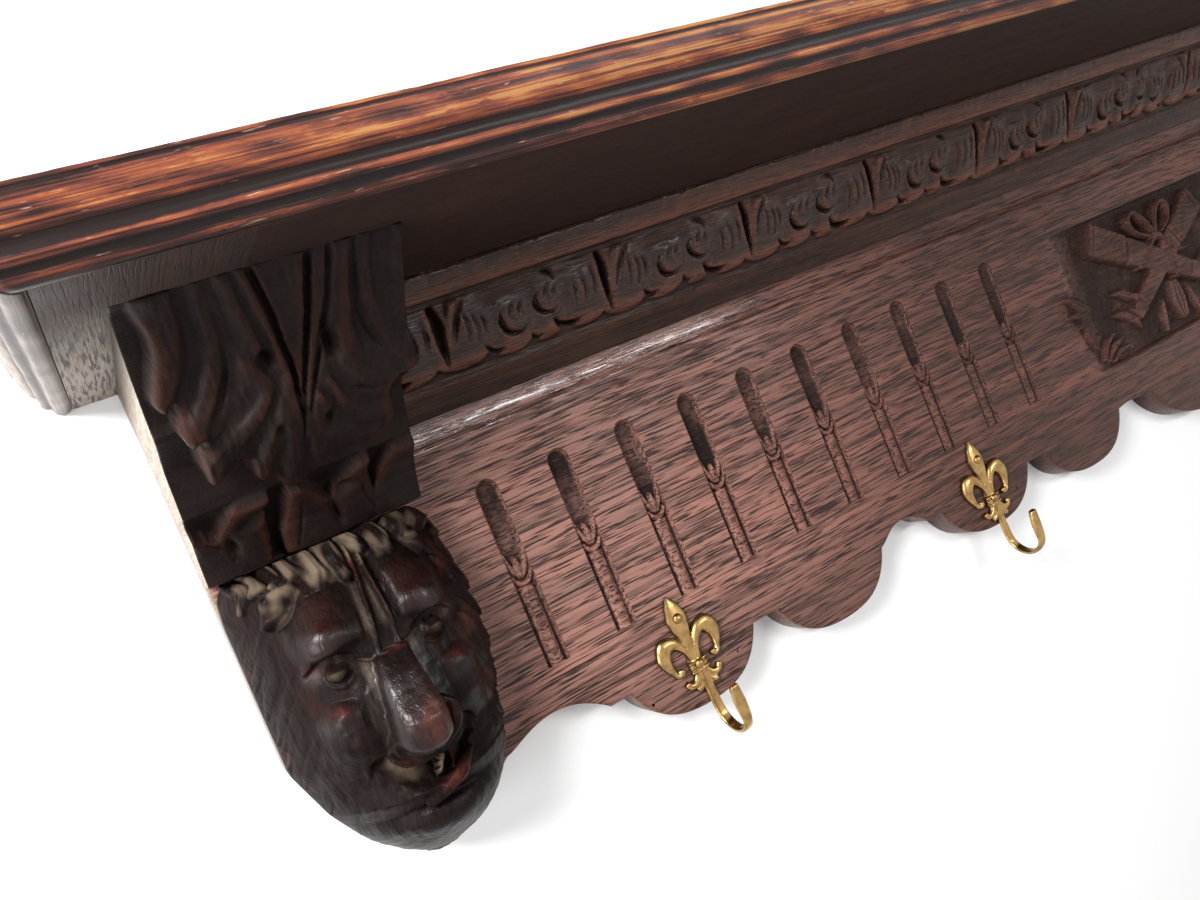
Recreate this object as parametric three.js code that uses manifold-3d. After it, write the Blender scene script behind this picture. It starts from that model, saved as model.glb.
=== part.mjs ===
// Carved oak wall coat rack: a shelf on two leaf corbels with lion masks, a fluted
// backboard with a scalloped lower edge, and four brass fleur-de-lis hooks.
// Millimetres. X runs along the rack, Y into the wall, Z up. The wall face is y = 0
// and the front faces -Y. Depths d are distances out of the wall, so y = -d.
// The origin is on the wall face, on the centre line, level with the flute tops.
import * as THREE from 'three';
import { mergeVertices } from 'three/addons/utils/BufferGeometryUtils.js';
import Module from 'manifold-3d';

const wasm = await Module();
wasm.setup();

// Backboard
const boardWidth = 1250;
const boardThick = 17;
const soffitHeight = 90; // underside of the shelf above the flute tops
const skirtDrop = 120; // straight line of the scalloped edge below the flute tops

// Scalloped edge: two pairs of lobes a side, a wide lobe in the middle
const innerPairX = 176;
const outerPairX = 392;
const lobeWidth = 76;
const lobeDrop = 23;
const pairNotch = 16;
const centreLobeHalf = 58;
const centreLobeDrop = 30;
const ledgeLength = 11;
const innerArchRise = 1;
const middleArchRise = 8;
const outerArchRise = 11;

// Stopped flutes, each with a bud and a cable in its lower half
const flutesPerSide = 10;
const firstFluteX = 160;
const fluteSpacing = 38;
const fluteWidth = 11.4;
const fluteLength = 90.5;
const fluteDepth = 4;
const cableShare = 0.43; // part of a flute that the cable fills
const cableWidth = 7.6;
const budLength = 13;

// Cove under the carved rail
const coveWidth = 11;
const coveDepth = 1.6;

// Sunk ground of the central trophy
const groundHalf = 108;
const groundRun = 44; // length of the slope from the board's face to the ground
const groundDepth = 5;
const groundTop = -2;
const groundBottom = -94;
const quiverLength = 148;
const quiverMouth = 22;
const quiverFoot = 10;
const quiverLean = 27; // degrees from the horizontal
const quiverRise = 0.8; // how far the upper quiver stands above the lower one

// Shelf and its cornice moulding
const shelfThick = 20;
const shelfDepth = 179;
const shelfOverhang = 17;
const shelfEndWidth = 56;
const corniceProjection = 15.5;
const corniceBead = 6.5;
const beadDrop = 1.2;

// Raking rail carved with leaves
const railProjection = 33;
const railDrop = 56;
const railBand = 14; // flat band at its foot
const railFillet = 10.5; // flat fillet at its head
const leafRepeat = 87.4;
const leafRelief = 4.5;

// Corbels
const corbelWidth = 89;
const corbelProjection = 141; // from the wall, under the shelf
const corbelFoot = 5; // height of its lower end above the flute tops
const corbelToe = 36; // depth of its lower end
const leafBody = 13; // how far the corbel's leaf stands off its body at the sides
const leafSideEdge = 51; // height of the leaf's edge at the sides, above the flute tops
const leafMiddleEdge = 23; // and on the centre line

// Lion masks
const maskWidth = 96;
const maskTop = 2;
const maskBottom = -132;
const maskRelief = 64;
const maskEdge = 3;
const maskInset = 45.5; // middle of the mask to the board's end

// Hooks and their nails
const outerHookX = 441;
const innerHookX = 224.5;
const outerHookTip = -86.5;
const innerHookTip = -91;
const firstHookLean = 4.5; // degrees; the two left hooks hang with the foot to the right
const secondHookLean = 3.5;
const plateHeight = 46;
const plateWidth = 34;
const plateThick = 2.4;
const strapWidth = 5.4;
const strapThick = 2.2;
const hookReach = 25; // front of the board to the far side of the tip
const hookDrop = 26; // foot of the plate to the lowest point
const hookLip = 27; // lowest point to the tip
const nailHeadRadius = 2.8;
const nailShankRadius = 1.1;
const nailLength = 11;
const nailTop = 11.5; // tip of the plate to the upper nail
const nailPitch = 24.5;
const clearance = 0.3;

const halfBoard = boardWidth / 2;
const skirt = -skirtDrop;
const maskX = halfBoard - maskInset;
const corbelX = halfBoard - corbelWidth / 2;
const boardFace = -boardThick;
const railFoot = soffitHeight - railDrop;

const oak = { color: 0x5a3a33, roughness: 0.45, metalness: 0 };
const darkOak = { color: 0x33221d, roughness: 0.5, metalness: 0 };
const wornOak = { color: 0x8a4f2c, roughness: 0.55, metalness: 0 };
const brass = { color: 0xb08a45, roughness: 0.35, metalness: 1 };

// Closed geometry to a solid for cutting and joining
function toSolid(geometry) {
  let g = geometry.clone();
  for (const name of Object.keys(g.attributes)) if (name !== 'position') g.deleteAttribute(name);
  g = mergeVertices(g, 1e-4);
  return new wasm.Manifold(new wasm.Mesh({
    numProp: 3,
    vertProperties: new Float32Array(g.attributes.position.array),
    triVerts: new Uint32Array(g.index.array),
  }));
}

function toGeometry(solid) {
  const m = solid.getMesh();
  const g = new THREE.BufferGeometry();
  g.setAttribute('position', new THREE.BufferAttribute(new Float32Array(m.vertProperties), 3));
  g.setIndex(Array.from(m.triVerts));
  g.computeVertexNormals();
  return g;
}

function piece(name, geometry, look) {
  const mesh = new THREE.Mesh(geometry, new THREE.MeshStandardMaterial(look));
  mesh.name = name;
  return mesh;
}

// Front-view shape in x and z, from depth d0 to d1 out of the wall
function plate(shape, d0, d1, curveSegments = 6) {
  const g = new THREE.ExtrudeGeometry(shape, { depth: d1 - d0, bevelEnabled: false, curveSegments });
  g.rotateX(Math.PI / 2);
  g.translate(0, -d0, 0);
  return g;
}

// Side-view shape in d and z, running from x0 to x1
function run(shape, x0, x1, curveSegments = 6) {
  const g = new THREE.ExtrudeGeometry(shape, { depth: x1 - x0, bevelEnabled: false, curveSegments });
  const turn = new THREE.Matrix4().makeBasis(
    new THREE.Vector3(0, -1, 0), new THREE.Vector3(0, 0, 1), new THREE.Vector3(-1, 0, 0));
  g.applyMatrix4(turn);
  g.translate(x1, 0, 0);
  return g;
}

function polygon(points) {
  return new THREE.Shape(points.map(([x, y]) => new THREE.Vector2(x, y)));
}

function box(x0, x1, d0, d1, z0, z1) {
  const g = new THREE.BoxGeometry(x1 - x0, d1 - d0, z1 - z0);
  g.translate((x0 + x1) / 2, -(d0 + d1) / 2, (z0 + z1) / 2);
  return g;
}

// Closed body from a carved front, a grid of points, and a flat back at depth dBack
function carvedBody(columns, rows, front, dBack) {
  const points = [];
  for (let j = 0; j <= rows; j++) {
    for (let i = 0; i <= columns; i++) points.push(front(i / columns, j / rows));
  }
  const at = (i, j) => j * (columns + 1) + i;
  const index = [];
  for (let j = 0; j < rows; j++) {
    for (let i = 0; i < columns; i++) {
      const [a, b, c, d] = [at(i, j), at(i + 1, j), at(i + 1, j + 1), at(i, j + 1)];
      if ((i < columns / 2) === (j % 2 === 0)) index.push(a, d, b, b, d, c);
      else index.push(a, c, b, a, d, c);
    }
  }
  const rim = [];
  for (let i = 0; i < columns; i++) rim.push(at(i, 0));
  for (let j = 0; j < rows; j++) rim.push(at(columns, j));
  for (let i = columns; i > 0; i--) rim.push(at(i, rows));
  for (let j = rows; j > 0; j--) rim.push(at(0, j));
  const first = points.length;
  for (const k of rim) points.push(new THREE.Vector3(points[k].x, -dBack, points[k].z));
  rim.forEach((k, n) => {
    const next = (n + 1) % rim.length;
    index.push(k, rim[next], first + next, k, first + next, first + n);
  });
  const middle = new THREE.Vector3();
  rim.forEach((k, n) => middle.addScaledVector(points[first + n], 1 / rim.length));
  points.push(middle);
  rim.forEach((k, n) => index.push(first + n, first + ((n + 1) % rim.length), first + rim.length));
  const g = new THREE.BufferGeometry();
  g.setAttribute('position', new THREE.Float32BufferAttribute(points.flatMap((p) => [p.x, p.y, p.z]), 3));
  g.setIndex(index);
  return outward(g);
}

// Closed body through rings of points; flat is the ring in its own plane, anticlockwise
function loft(rings, flat) {
  const n = flat.length;
  const index = [];
  for (let r = 0; r + 1 < rings.length; r++) {
    for (let k = 0; k < n; k++) {
      const [a, b] = [r * n + k, r * n + ((k + 1) % n)];
      index.push(a, b, b + n, a, b + n, a + n);
    }
  }
  const end = (rings.length - 1) * n;
  const caps = THREE.ShapeUtils.triangulateShape(flat.map(([x, y]) => new THREE.Vector2(x, y)), []);
  for (const [a, b, c] of caps) index.push(a, c, b, end + a, end + b, end + c);
  const g = new THREE.BufferGeometry();
  g.setAttribute('position', new THREE.Float32BufferAttribute(rings.flat(2), 3));
  g.setIndex(index);
  return outward(g);
}

// Turns the faces of a closed geometry outwards
function outward(g) {
  const p = g.attributes.position;
  const ix = g.index.array;
  const [a, b, c] = [new THREE.Vector3(), new THREE.Vector3(), new THREE.Vector3()];
  let volume = 0;
  for (let n = 0; n < ix.length; n += 3) {
    a.fromBufferAttribute(p, ix[n]);
    b.fromBufferAttribute(p, ix[n + 1]);
    c.fromBufferAttribute(p, ix[n + 2]);
    volume += a.dot(b.cross(c));
  }
  if (volume < 0) {
    for (let n = 0; n < ix.length; n += 3) [ix[n], ix[n + 1]] = [ix[n + 1], ix[n]];
  }
  g.computeVertexNormals();
  return g;
}

const smooth = (t) => {
  const s = Math.min(1, Math.max(0, t));
  return s * s * (3 - 2 * s);
};
const bump = (x, y, cx, cy, sx, sy) => Math.exp(0 - ((x - cx) / sx) ** 2 - ((y - cy) / sy) ** 2);

// Value at t of a smooth curve through [t, value] stations
function along(stations, t) {
  const last = stations.length - 1;
  if (t <= stations[0][0]) return stations[0][1];
  if (t >= stations[last][0]) return stations[last][1];
  const slope = (n) => {
    const [a, b] = [stations[Math.max(0, n - 1)], stations[Math.min(last, n + 1)]];
    return (b[1] - a[1]) / (b[0] - a[0]);
  };
  const n = stations.findIndex(([at]) => at >= t) - 1;
  const [[t0, v0], [t1, v1]] = [stations[n], stations[n + 1]];
  const [w, u] = [t1 - t0, (t - t0) / (t1 - t0)];
  return v0 * (2 * u ** 3 - 3 * u ** 2 + 1) + v1 * (3 * u ** 2 - 2 * u ** 3)
    + w * (slope(n) * (u ** 3 - 2 * u ** 2 + u) + slope(n + 1) * (u ** 3 - u ** 2));
}

// Lower edge from the centre line outwards, as pen moves on a shape; side is 1 or -1
function edgeMoves() {
  const moves = [];
  const line = (x, z) => moves.push([[x, z]]);
  const curve = (...p) => moves.push(p);
  const lobe = (x0, x1) => {
    const low = skirt - lobeDrop;
    const mid = (x0 + x1) / 2;
    const w = x1 - x0;
    curve([x0 + 0.1 * w, skirt - 0.75 * lobeDrop], [x0 + 0.25 * w, low], [mid, low]);
    curve([x1 - 0.25 * w, low], [x1 - 0.1 * w, skirt - 0.75 * lobeDrop], [x1, skirt]);
  };
  const pair = (x) => {
    lobe(x - pairNotch / 2 - lobeWidth, x - pairNotch / 2);
    line(x + pairNotch / 2, skirt);
    lobe(x + pairNotch / 2, x + pairNotch / 2 + lobeWidth);
  };
  // A ledge, then a hollow that rises to its crown and falls to x1
  const arch = (x0, x1, z1, rise) => {
    line(x0 + ledgeLength, skirt);
    const a = x0 + ledgeLength;
    const crown = a + 0.5 * (x1 - a);
    curve([a + 0.3 * (crown - a), skirt + 0.6 * rise], [crown - 0.4 * (crown - a), skirt + rise],
      [crown, skirt + rise]);
    curve([crown + 0.45 * (x1 - crown), skirt + rise], [x1 - 0.3 * (x1 - crown), z1 + 0.25 * (skirt + rise - z1)],
      [x1, z1]);
  };
  const low = skirt - centreLobeDrop;
  curve([0.45 * centreLobeHalf, low], [0.82 * centreLobeHalf, skirt - 0.7 * centreLobeDrop],
    [centreLobeHalf, skirt]);
  arch(centreLobeHalf, innerPairX - pairNotch / 2 - lobeWidth, skirt, innerArchRise);
  pair(innerPairX);
  arch(innerPairX + pairNotch / 2 + lobeWidth, outerPairX - pairNotch / 2 - lobeWidth, skirt, middleArchRise);
  pair(outerPairX);
  const chin = maskX - 0.3 * maskWidth;
  arch(outerPairX + pairNotch / 2 + lobeWidth, chin, skirt + 0.15 * (skirt - maskBottom), outerArchRise);
  return moves;
}

// Outline of the mask, as half width and middle at share t from its top to its bottom
function maskHalf(t) {
  const edge = maskWidth / 2;
  return edge * along([[0, 0.8], [0.12, 0.95], [0.3, 1], [0.55, 1], [0.72, 0.9], [0.86, 0.66],
    [0.95, 0.4], [1, 0.22]], t);
}

function maskPoint(side, s, t) {
  const out = side * (2 * s - 1) > 0;
  const limit = out ? Math.min(maskHalf(t), maskInset) : maskHalf(t);
  return [side * maskX + (2 * s - 1) * limit, maskTop + (maskBottom - maskTop) * t];
}

function boardShape() {
  const shape = new THREE.Shape();
  const moves = edgeMoves();
  const low = skirt - centreLobeDrop;
  const under = 1.0; // the masks stand this far past the board's edge
  const tail = [];
  for (const t of [0.93, 0.86, 0.78, 0.7, 0.62]) {
    const [x, z] = maskPoint(1, 1, t);
    tail.push([Math.min(x - under, halfBoard), z]);
  }
  const start = maskPoint(1, 0, 0.93);
  shape.moveTo(0, low);
  for (const m of moves) {
    if (m.length === 1) shape.lineTo(...m[0]);
    else shape.bezierCurveTo(...m[0], ...m[1], ...m[2]);
  }
  shape.lineTo(start[0] + under, start[1]);
  const chinZ = maskBottom + 2;
  shape.lineTo(maskX - 0.12 * maskWidth, chinZ);
  shape.lineTo(maskX + 0.12 * maskWidth, chinZ);
  for (const p of tail) shape.lineTo(...p);
  shape.lineTo(halfBoard, maskTop + 0.5 * (maskBottom - maskTop));
  shape.lineTo(halfBoard, soffitHeight);
  shape.lineTo(0, soffitHeight);
  return shape;
}

function mirrored(points) {
  const right = points.filter((p) => p.x > 1e-6);
  const left = right.map((p) => new THREE.Vector2(-p.x, p.y)).reverse();
  const low = points.filter((p) => p.x <= 1e-6)[0];
  return new THREE.Shape([low, ...right, ...left]);
}

// Channel with a round head, its flat slot below, and the cable and bud left standing in it
function fluteCut(x) {
  const r = (fluteWidth ** 2 / 4 + fluteDepth ** 2) / (2 * fluteDepth);
  const split = -fluteLength * (1 - cableShare);
  const reach = Math.acos(1 - fluteDepth / r);
  const section = [[-fluteWidth / 2, 0.5], [fluteWidth / 2, 0.5]];
  for (let n = 2; n >= -2; n--) {
    const a = (reach * n) / 2;
    section.push([r * Math.sin(a), (r - fluteDepth) - r * Math.cos(a)]);
  }
  const channel = new THREE.ExtrudeGeometry(polygon(section), {
    depth: -split - fluteWidth / 2, bevelEnabled: false });
  // section x along X, section y out of the board, extrusion upwards
  channel.applyMatrix4(new THREE.Matrix4().makeBasis(
    new THREE.Vector3(1, 0, 0), new THREE.Vector3(0, -1, 0), new THREE.Vector3(0, 0, -1)));
  channel.translate(x, boardFace, -fluteWidth / 2);
  const head = new THREE.LatheGeometry([
    new THREE.Vector2(0, -fluteDepth),
    new THREE.Vector2(0.55 * fluteWidth / 2, -0.72 * fluteDepth),
    new THREE.Vector2(0.9 * fluteWidth / 2, -0.25 * fluteDepth),
    new THREE.Vector2(fluteWidth / 2, 0), new THREE.Vector2(fluteWidth / 2, 0.5),
    new THREE.Vector2(0, 0.5)], 8);
  head.rotateX(Math.PI);
  head.translate(x, boardFace, -fluteWidth / 2);
  const slot = box(x - fluteWidth / 2, x + fluteWidth / 2, boardThick - fluteDepth, boardThick + 1,
    -fluteLength, split);
  return toSolid(channel).add(toSolid(head)).add(toSolid(slot));
}

function cable(x) {
  const split = -fluteLength * (1 - cableShare);
  const section = new THREE.Shape();
  section.absellipse(0, -fluteDepth, cableWidth / 2, fluteDepth - 0.4, 0, Math.PI);
  const g = new THREE.ExtrudeGeometry(section, { depth: split + fluteLength + 0.2, bevelEnabled: false,
    curveSegments: 5 });
  g.applyMatrix4(new THREE.Matrix4().makeBasis(
    new THREE.Vector3(1, 0, 0), new THREE.Vector3(0, -1, 0), new THREE.Vector3(0, 0, -1)));
  g.translate(x, boardFace, split);
  return g;
}

function bud(x) {
  const split = -fluteLength * (1 - cableShare);
  const g = new THREE.SphereGeometry(1, 6, 4);
  g.scale(fluteWidth * 0.46, fluteDepth * 0.95, budLength / 2);
  g.translate(x, boardFace + fluteDepth * 1.05, split + budLength * 0.32);
  return g;
}

// Leaf with a ridge: pointed outline of the given length and width, raised along its middle
function leaf(x, z, angle, length, width, top, foot) {
  const steps = 6;
  const pts = [];
  const index = [];
  const ring = [];
  const half = (t) => (width / 2) * Math.sin(Math.PI * Math.min(1, 0.08 + 0.92 * t) ** 0.8) + 0.15;
  for (let n = 0; n <= steps; n++) ring.push([n / steps * length, half(n / steps)]);
  for (let n = steps; n >= 0; n--) ring.push([n / steps * length, -half(n / steps)]);
  const c = Math.cos(angle);
  const s = Math.sin(angle);
  const put = (u, v, d) => pts.push([x + u * c - v * s, -d, z + u * s + v * c]);
  for (const [u, v] of ring) put(u, v, foot);
  for (const [u, v] of ring) put(u, v, top - 1.4);
  for (let n = 0; n <= steps; n++) put(n / steps * length, 0, top);
  const m = ring.length;
  for (let n = 0; n < m; n++) {
    const k = (n + 1) % m;
    index.push(n, k, m + k, n, m + k, m + n);
  }
  for (let n = 0; n < steps; n++) {
    const [a, b] = [m + n, m + n + 1];
    const [e, f] = [2 * m + n, 2 * m + n + 1];
    const [q, w] = [m + (m - 1 - n), m + (m - 2 - n)];
    index.push(a, b, f, a, f, e, q, e, f, q, f, w);
  }
  index.push(m, 2 * m, 2 * m - 1);
  index.push(m + steps, m + steps + 1, 2 * m + steps);
  for (let n = 0; n < steps; n++) {
    index.push(n, m - 1 - n, n + 1, n + 1, m - 1 - n, m - 2 - n);
  }
  const g = new THREE.BufferGeometry();
  g.setAttribute('position', new THREE.Float32BufferAttribute(pts.flat(), 3));
  g.setIndex(index);
  return outward(g);
}

// Two crossed quivers, a bow above and leaf sprays below, standing in a sunk ground
function trophy(board) {
  const face = boardThick;
  const floor = boardThick - groundDepth;
  const groundShape = polygon([[-groundHalf, face], [-groundHalf + groundRun, floor],
    [groundHalf - groundRun, floor], [groundHalf, face], [groundHalf, face + 1], [-groundHalf, face + 1]]);
  const ground = new THREE.ExtrudeGeometry(groundShape, { depth: groundTop - groundBottom, bevelEnabled: false });
  ground.applyMatrix4(new THREE.Matrix4().makeBasis(
    new THREE.Vector3(1, 0, 0), new THREE.Vector3(0, -1, 0), new THREE.Vector3(0, 0, -1)));
  ground.translate(0, 0, groundTop);
  let out = board.subtract(toSolid(ground));
  const lean = THREE.MathUtils.degToRad(quiverLean);
  const middle = (groundTop + groundBottom) / 2;
  // half-round quiver, wide at its mouth, with a button at its foot
  const quiver = (side, top) => {
    const half = quiverLength / 2;
    const [m, f] = [quiverMouth / 2, quiverFoot / 2];
    const taper = [[-half, m - 0.6], [-half + 3, m], [-half + 22, m - 0.8], [half * 0.84, f], [half * 0.88, f + 2],
      [half * 0.96, f + 1.5], [half, f - 1.5]];
    const bow = [[1, 0], [1, 0.55], [0.6, 0.9], [0, 1], [-0.6, 0.9], [-1, 0.55], [-1, 0]];
    const c = Math.cos(lean);
    const s = Math.sin(lean);
    return loft(taper.map(([u, w]) => bow.map(([v, rise]) => [side * (u * c - w * v * s + 4),
      0.5 - floor - rise * (top + 0.5 - floor), middle - u * s - w * v * c])), bow);
  };
  out = out.add(toSolid(quiver(-1, face - quiverRise))).add(toSolid(quiver(1, face)));
  for (const side of [1, -1]) {
    const turn = (a) => (side > 0 ? a : Math.PI - a);
    const sprig = (x, z, degrees, length, width, top) => {
      const a = turn(THREE.MathUtils.degToRad(degrees));
      out = out.add(toSolid(leaf(side * x, z, a, length, width, top, floor - 0.5)));
    };
    sprig(1.5, middle - 10, -62, 30, 10, face - 0.6);
    sprig(8, middle + 16, 42, 27, 13, face - 0.4);
    sprig(34, middle - 9, -12, 26, 11, face - 0.4);
    sprig(38, middle - 22, -8, 25, 10, face - 0.8);
    sprig(52, middle - 30, -18, 34, 12, face - 0.2);
    sprig(58, middle - 40, 20, 42, 7, face - 0.5);
    sprig(80, middle - 24, 52, 22, 9, face);
  }
  return out;
}

function backboard() {
  const points = boardShape().getPoints(6);
  let board = toSolid(plate(mirrored(points), 0, boardThick));
  for (const side of [1, -1]) {
    for (let n = 0; n < flutesPerSide; n++) {
      const x = side * (firstFluteX + n * fluteSpacing);
      board = board.subtract(fluteCut(x)).add(toSolid(cable(x))).add(toSolid(bud(x)));
    }
  }
  const cove = new THREE.Shape();
  const r = (coveWidth ** 2 / 4 + coveDepth ** 2) / (2 * coveDepth);
  const a = Math.asin(coveWidth / 2 / r);
  const mid = railFoot - coveWidth / 2 - 0.5;
  cove.absarc(boardThick + r - coveDepth, mid, r, Math.PI - a, Math.PI + a, false);
  board = board.subtract(toSolid(run(cove, -corbelX + corbelWidth / 2 + 1, corbelX - corbelWidth / 2 - 1, 5)));
  board = trophy(board);
  for (const hook of hookPlaces()) {
    for (const [x, z] of nailPlaces(hook)) {
      const hole = new THREE.CylinderGeometry(nailShankRadius + clearance, nailShankRadius + clearance,
        nailLength + 0.5, 7);
      hole.translate(x, boardFace + (nailLength + 0.5) / 2 - 0.5, z);
      board = board.subtract(toSolid(hole));
    }
  }
  return piece('backboard', toGeometry(board), oak);
}

// Shelf board with a cross-grained piece at each end
function shelf() {
  const half = halfBoard + shelfOverhang;
  const [z0, z1] = [soffitHeight, soffitHeight + shelfThick];
  return [
    piece('shelf_board', box(-half + shelfEndWidth, half - shelfEndWidth, 0, shelfDepth, z0, z1), darkOak),
    piece('shelf_end_left', box(-half, -half + shelfEndWidth, 0, shelfDepth, z0, z1), darkOak),
    piece('shelf_end_right', box(half - shelfEndWidth, half, 0, shelfDepth, z0, z1), darkOak),
  ];
}

// Cornice section: e outwards from the shelf's edge, h up from its underside
function corniceSection() {
  const p = corniceProjection;
  const t = shelfThick;
  const pts = [[0, -beadDrop * 0.5]];
  for (let n = 0; n <= 4; n++) {
    const a = Math.PI * (1.1 + 0.22 * n);
    pts.push([corniceBead / 2 + 0.3 + (corniceBead / 2) * Math.cos(a), 1.1 + (beadDrop + 1.1) * Math.sin(a)]);
  }
  pts.push([corniceBead + 0.8, 2.6], [corniceBead + 2.2, 3.4]);
  pts.push([corniceBead + 3.4, 4.2], [corniceBead + 3.7, 5.4], [corniceBead + 3.2, 6.4]);
  pts.push([p * 0.72, 0.42 * t], [p * 0.8, 0.52 * t], [p * 0.9, 0.7 * t], [p * 0.96, 0.84 * t]);
  pts.push([p * 0.92, 0.9 * t], [p, 0.93 * t], [p, t], [0, t]);
  return pts;
}

function cornice() {
  const section = corniceSection();
  const half = halfBoard + shelfOverhang;
  const z = soffitHeight;
  // mitred: the further a point of the section stands out, the further it runs on
  const mitre = clearance / 2 + 0.05;
  const front = loft([-1, 1].map((end) => section.map(([e, h]) => [
    end * (half + e - mitre), -(shelfDepth + e), z + h])), section);
  const side = (s) => loft([1, 0].map((end) => section.map(([e, h]) => [
    s * (half + e), -end * (shelfDepth + e - mitre), z + h])), section);
  return [
    piece('cornice_front', front, wornOak),
    piece('cornice_left', side(-1), wornOak),
    piece('cornice_right', side(1), wornOak),
  ];
}

// Carved rail: a raked front with a foot band, a swelling leaf band and a head fillet
const leafCuts = [[0, 0.15], [0.07, 0.8], [0.2, 1], [0.33, 0.45], [0.45, 0.95], [0.57, 0.3], [0.68, 1],
  [0.85, 0.62], [1, 0.15]];

// Height of the carving at station n of a leaf's cuts and share v up the leaf band
function leafHeight(n, v) {
  const swell = Math.sin(Math.PI * Math.min(1, 0.12 + 0.88 * v)) ** 0.6;
  const fold = 0.12 * Math.sin(2 * Math.PI * (0.5 * n + v));
  return leafRelief * swell * (leafCuts[n % (leafCuts.length - 1)][1] + fold);
}

function rail() {
  const inner = corbelX - corbelWidth / 2 - clearance;
  const length = Math.hypot(railProjection, railDrop);
  const [nd, nz] = [railDrop / length, -railProjection / length];
  const v0 = railBand + 1.2;
  const v1 = length - railFillet - 2.6;
  const bandRows = 4;
  // distance up the slope and how far the plain members stand off it
  const stations = [[0, 1.2], [railBand, 1.2]];
  for (let n = 0; n <= bandRows; n++) stations.push([v0 + ((v1 - v0) * n) / bandRows, 0]);
  stations.push([v1 + 0.3, -0.4], [v1 + 2.6, 2.2], [length, 2.2]);
  // the leaves start from the centre line and run out to both ends
  const cuts = [];
  for (let n = 0; leafRepeat * (n / (leafCuts.length - 1)) < inner - 3; n++) {
    const whole = Math.floor(n / (leafCuts.length - 1));
    cuts.push([leafRepeat * (whole + leafCuts[n % (leafCuts.length - 1)][0]), n]);
  }
  const marks = [...cuts.slice(1).reverse().map(([x, n]) => [-x, n]), ...cuts];
  const columns = marks.length + 1;
  const rows = stations.length - 1;
  const front = (s, t) => {
    const [w, off] = stations[Math.round(t * rows)];
    const k = Math.round(s * columns);
    const v = (w - v0) / (v1 - v0);
    const onLeaf = k > 0 && k < columns;
    const [mark, n] = onLeaf ? marks[k - 1] : [k === 0 ? -inner : inner, 0];
    const inBand = w > v0 - 1e-6 && w < v1 + 1e-6;
    // the cuts lean over towards the foot, away from the centre line
    const lean = onLeaf && inBand && Math.abs(mark) < inner - 8 ? Math.sign(mark) * 3 * (0.5 - v) : 0;
    const carved = inBand && onLeaf ? leafHeight(n, Math.min(1, Math.max(0, v))) : 0;
    const d = boardThick + (railProjection * w) / length + nd * (off + carved);
    let z = railFoot + (railDrop * w) / length + nz * (off + carved);
    if (w === 0) z = railFoot;
    if (w === length) z = soffitHeight;
    return new THREE.Vector3(mark + lean, -d, z);
  };
  return piece('acanthus_rail', carvedBody(columns, rows, front, boardThick), darkOak);
}

// Corbel body in side view: a slope under the shelf, a hollow, a plain band and a foot
function corbelDepth(t) {
  const share = along([[0, 0.9], [0.2, 0.63], [0.35, 0.52], [0.5, 0.42], [0.6, 0.22], [0.67, 0.19],
    [0.76, 0.19], [0.84, 0.08], [1, 0]], t);
  return corbelToe + (corbelProjection - corbelToe) * share;
}

// Leaf over the body: two halves of drooping lobes either side of a split stem
function corbelLeaf(p, t) {
  const a = Math.abs(p);
  const z = soffitHeight - (soffitHeight - corbelFoot) * t;
  const lobe = Math.abs(Math.cos(Math.PI * 2.2 * (a - 0.06)));
  const edge = leafMiddleEdge + (leafSideEdge - leafMiddleEdge) * a ** 1.2 - 5 * lobe;
  const over = smooth((z - edge + 2) / 4);
  const thick = leafBody * (0.5 + 0.9 * smooth((t - 0.08) / 0.36)) * (0.45 + 0.55 * smooth((a - 0.05) / 0.45));
  const ribs = 3 * (lobe - 0.5) * smooth((t - 0.02) / 0.2);
  const stem = -4 * Math.exp(-(((a - 0.26 * Math.max(0, 0.75 - t)) / 0.05) ** 2)) * (1 - smooth((t - 0.7) / 0.1));
  const eye = -6 * bump(a, t, 0.3, 0.45, 0.06, 0.05);
  return over * (thick + ribs + stem + eye);
}

// Overlapping leaf scales at the foot
function corbelScales(p, t) {
  const down = t - 0.06 * Math.abs(Math.cos(Math.PI * 1.5 * p));
  return 5 * smooth((down - 0.8) / 0.03) * (1 - smooth((down - 0.9) / 0.12));
}

function corbel(name, side) {
  const height = soffitHeight - corbelFoot;
  const front = (s, t) => {
    const p = 2 * s - 1;
    const bare = 1 - Math.abs(p) ** 12;
    const d = corbelDepth(t) + (corbelLeaf(p, t) + corbelScales(p, t)) * bare;
    return new THREE.Vector3(side * corbelX + (p * corbelWidth) / 2, -d, soffitHeight - height * t);
  };
  return piece(name, carvedBody(18, 20, front, boardThick), darkOak);
}

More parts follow.
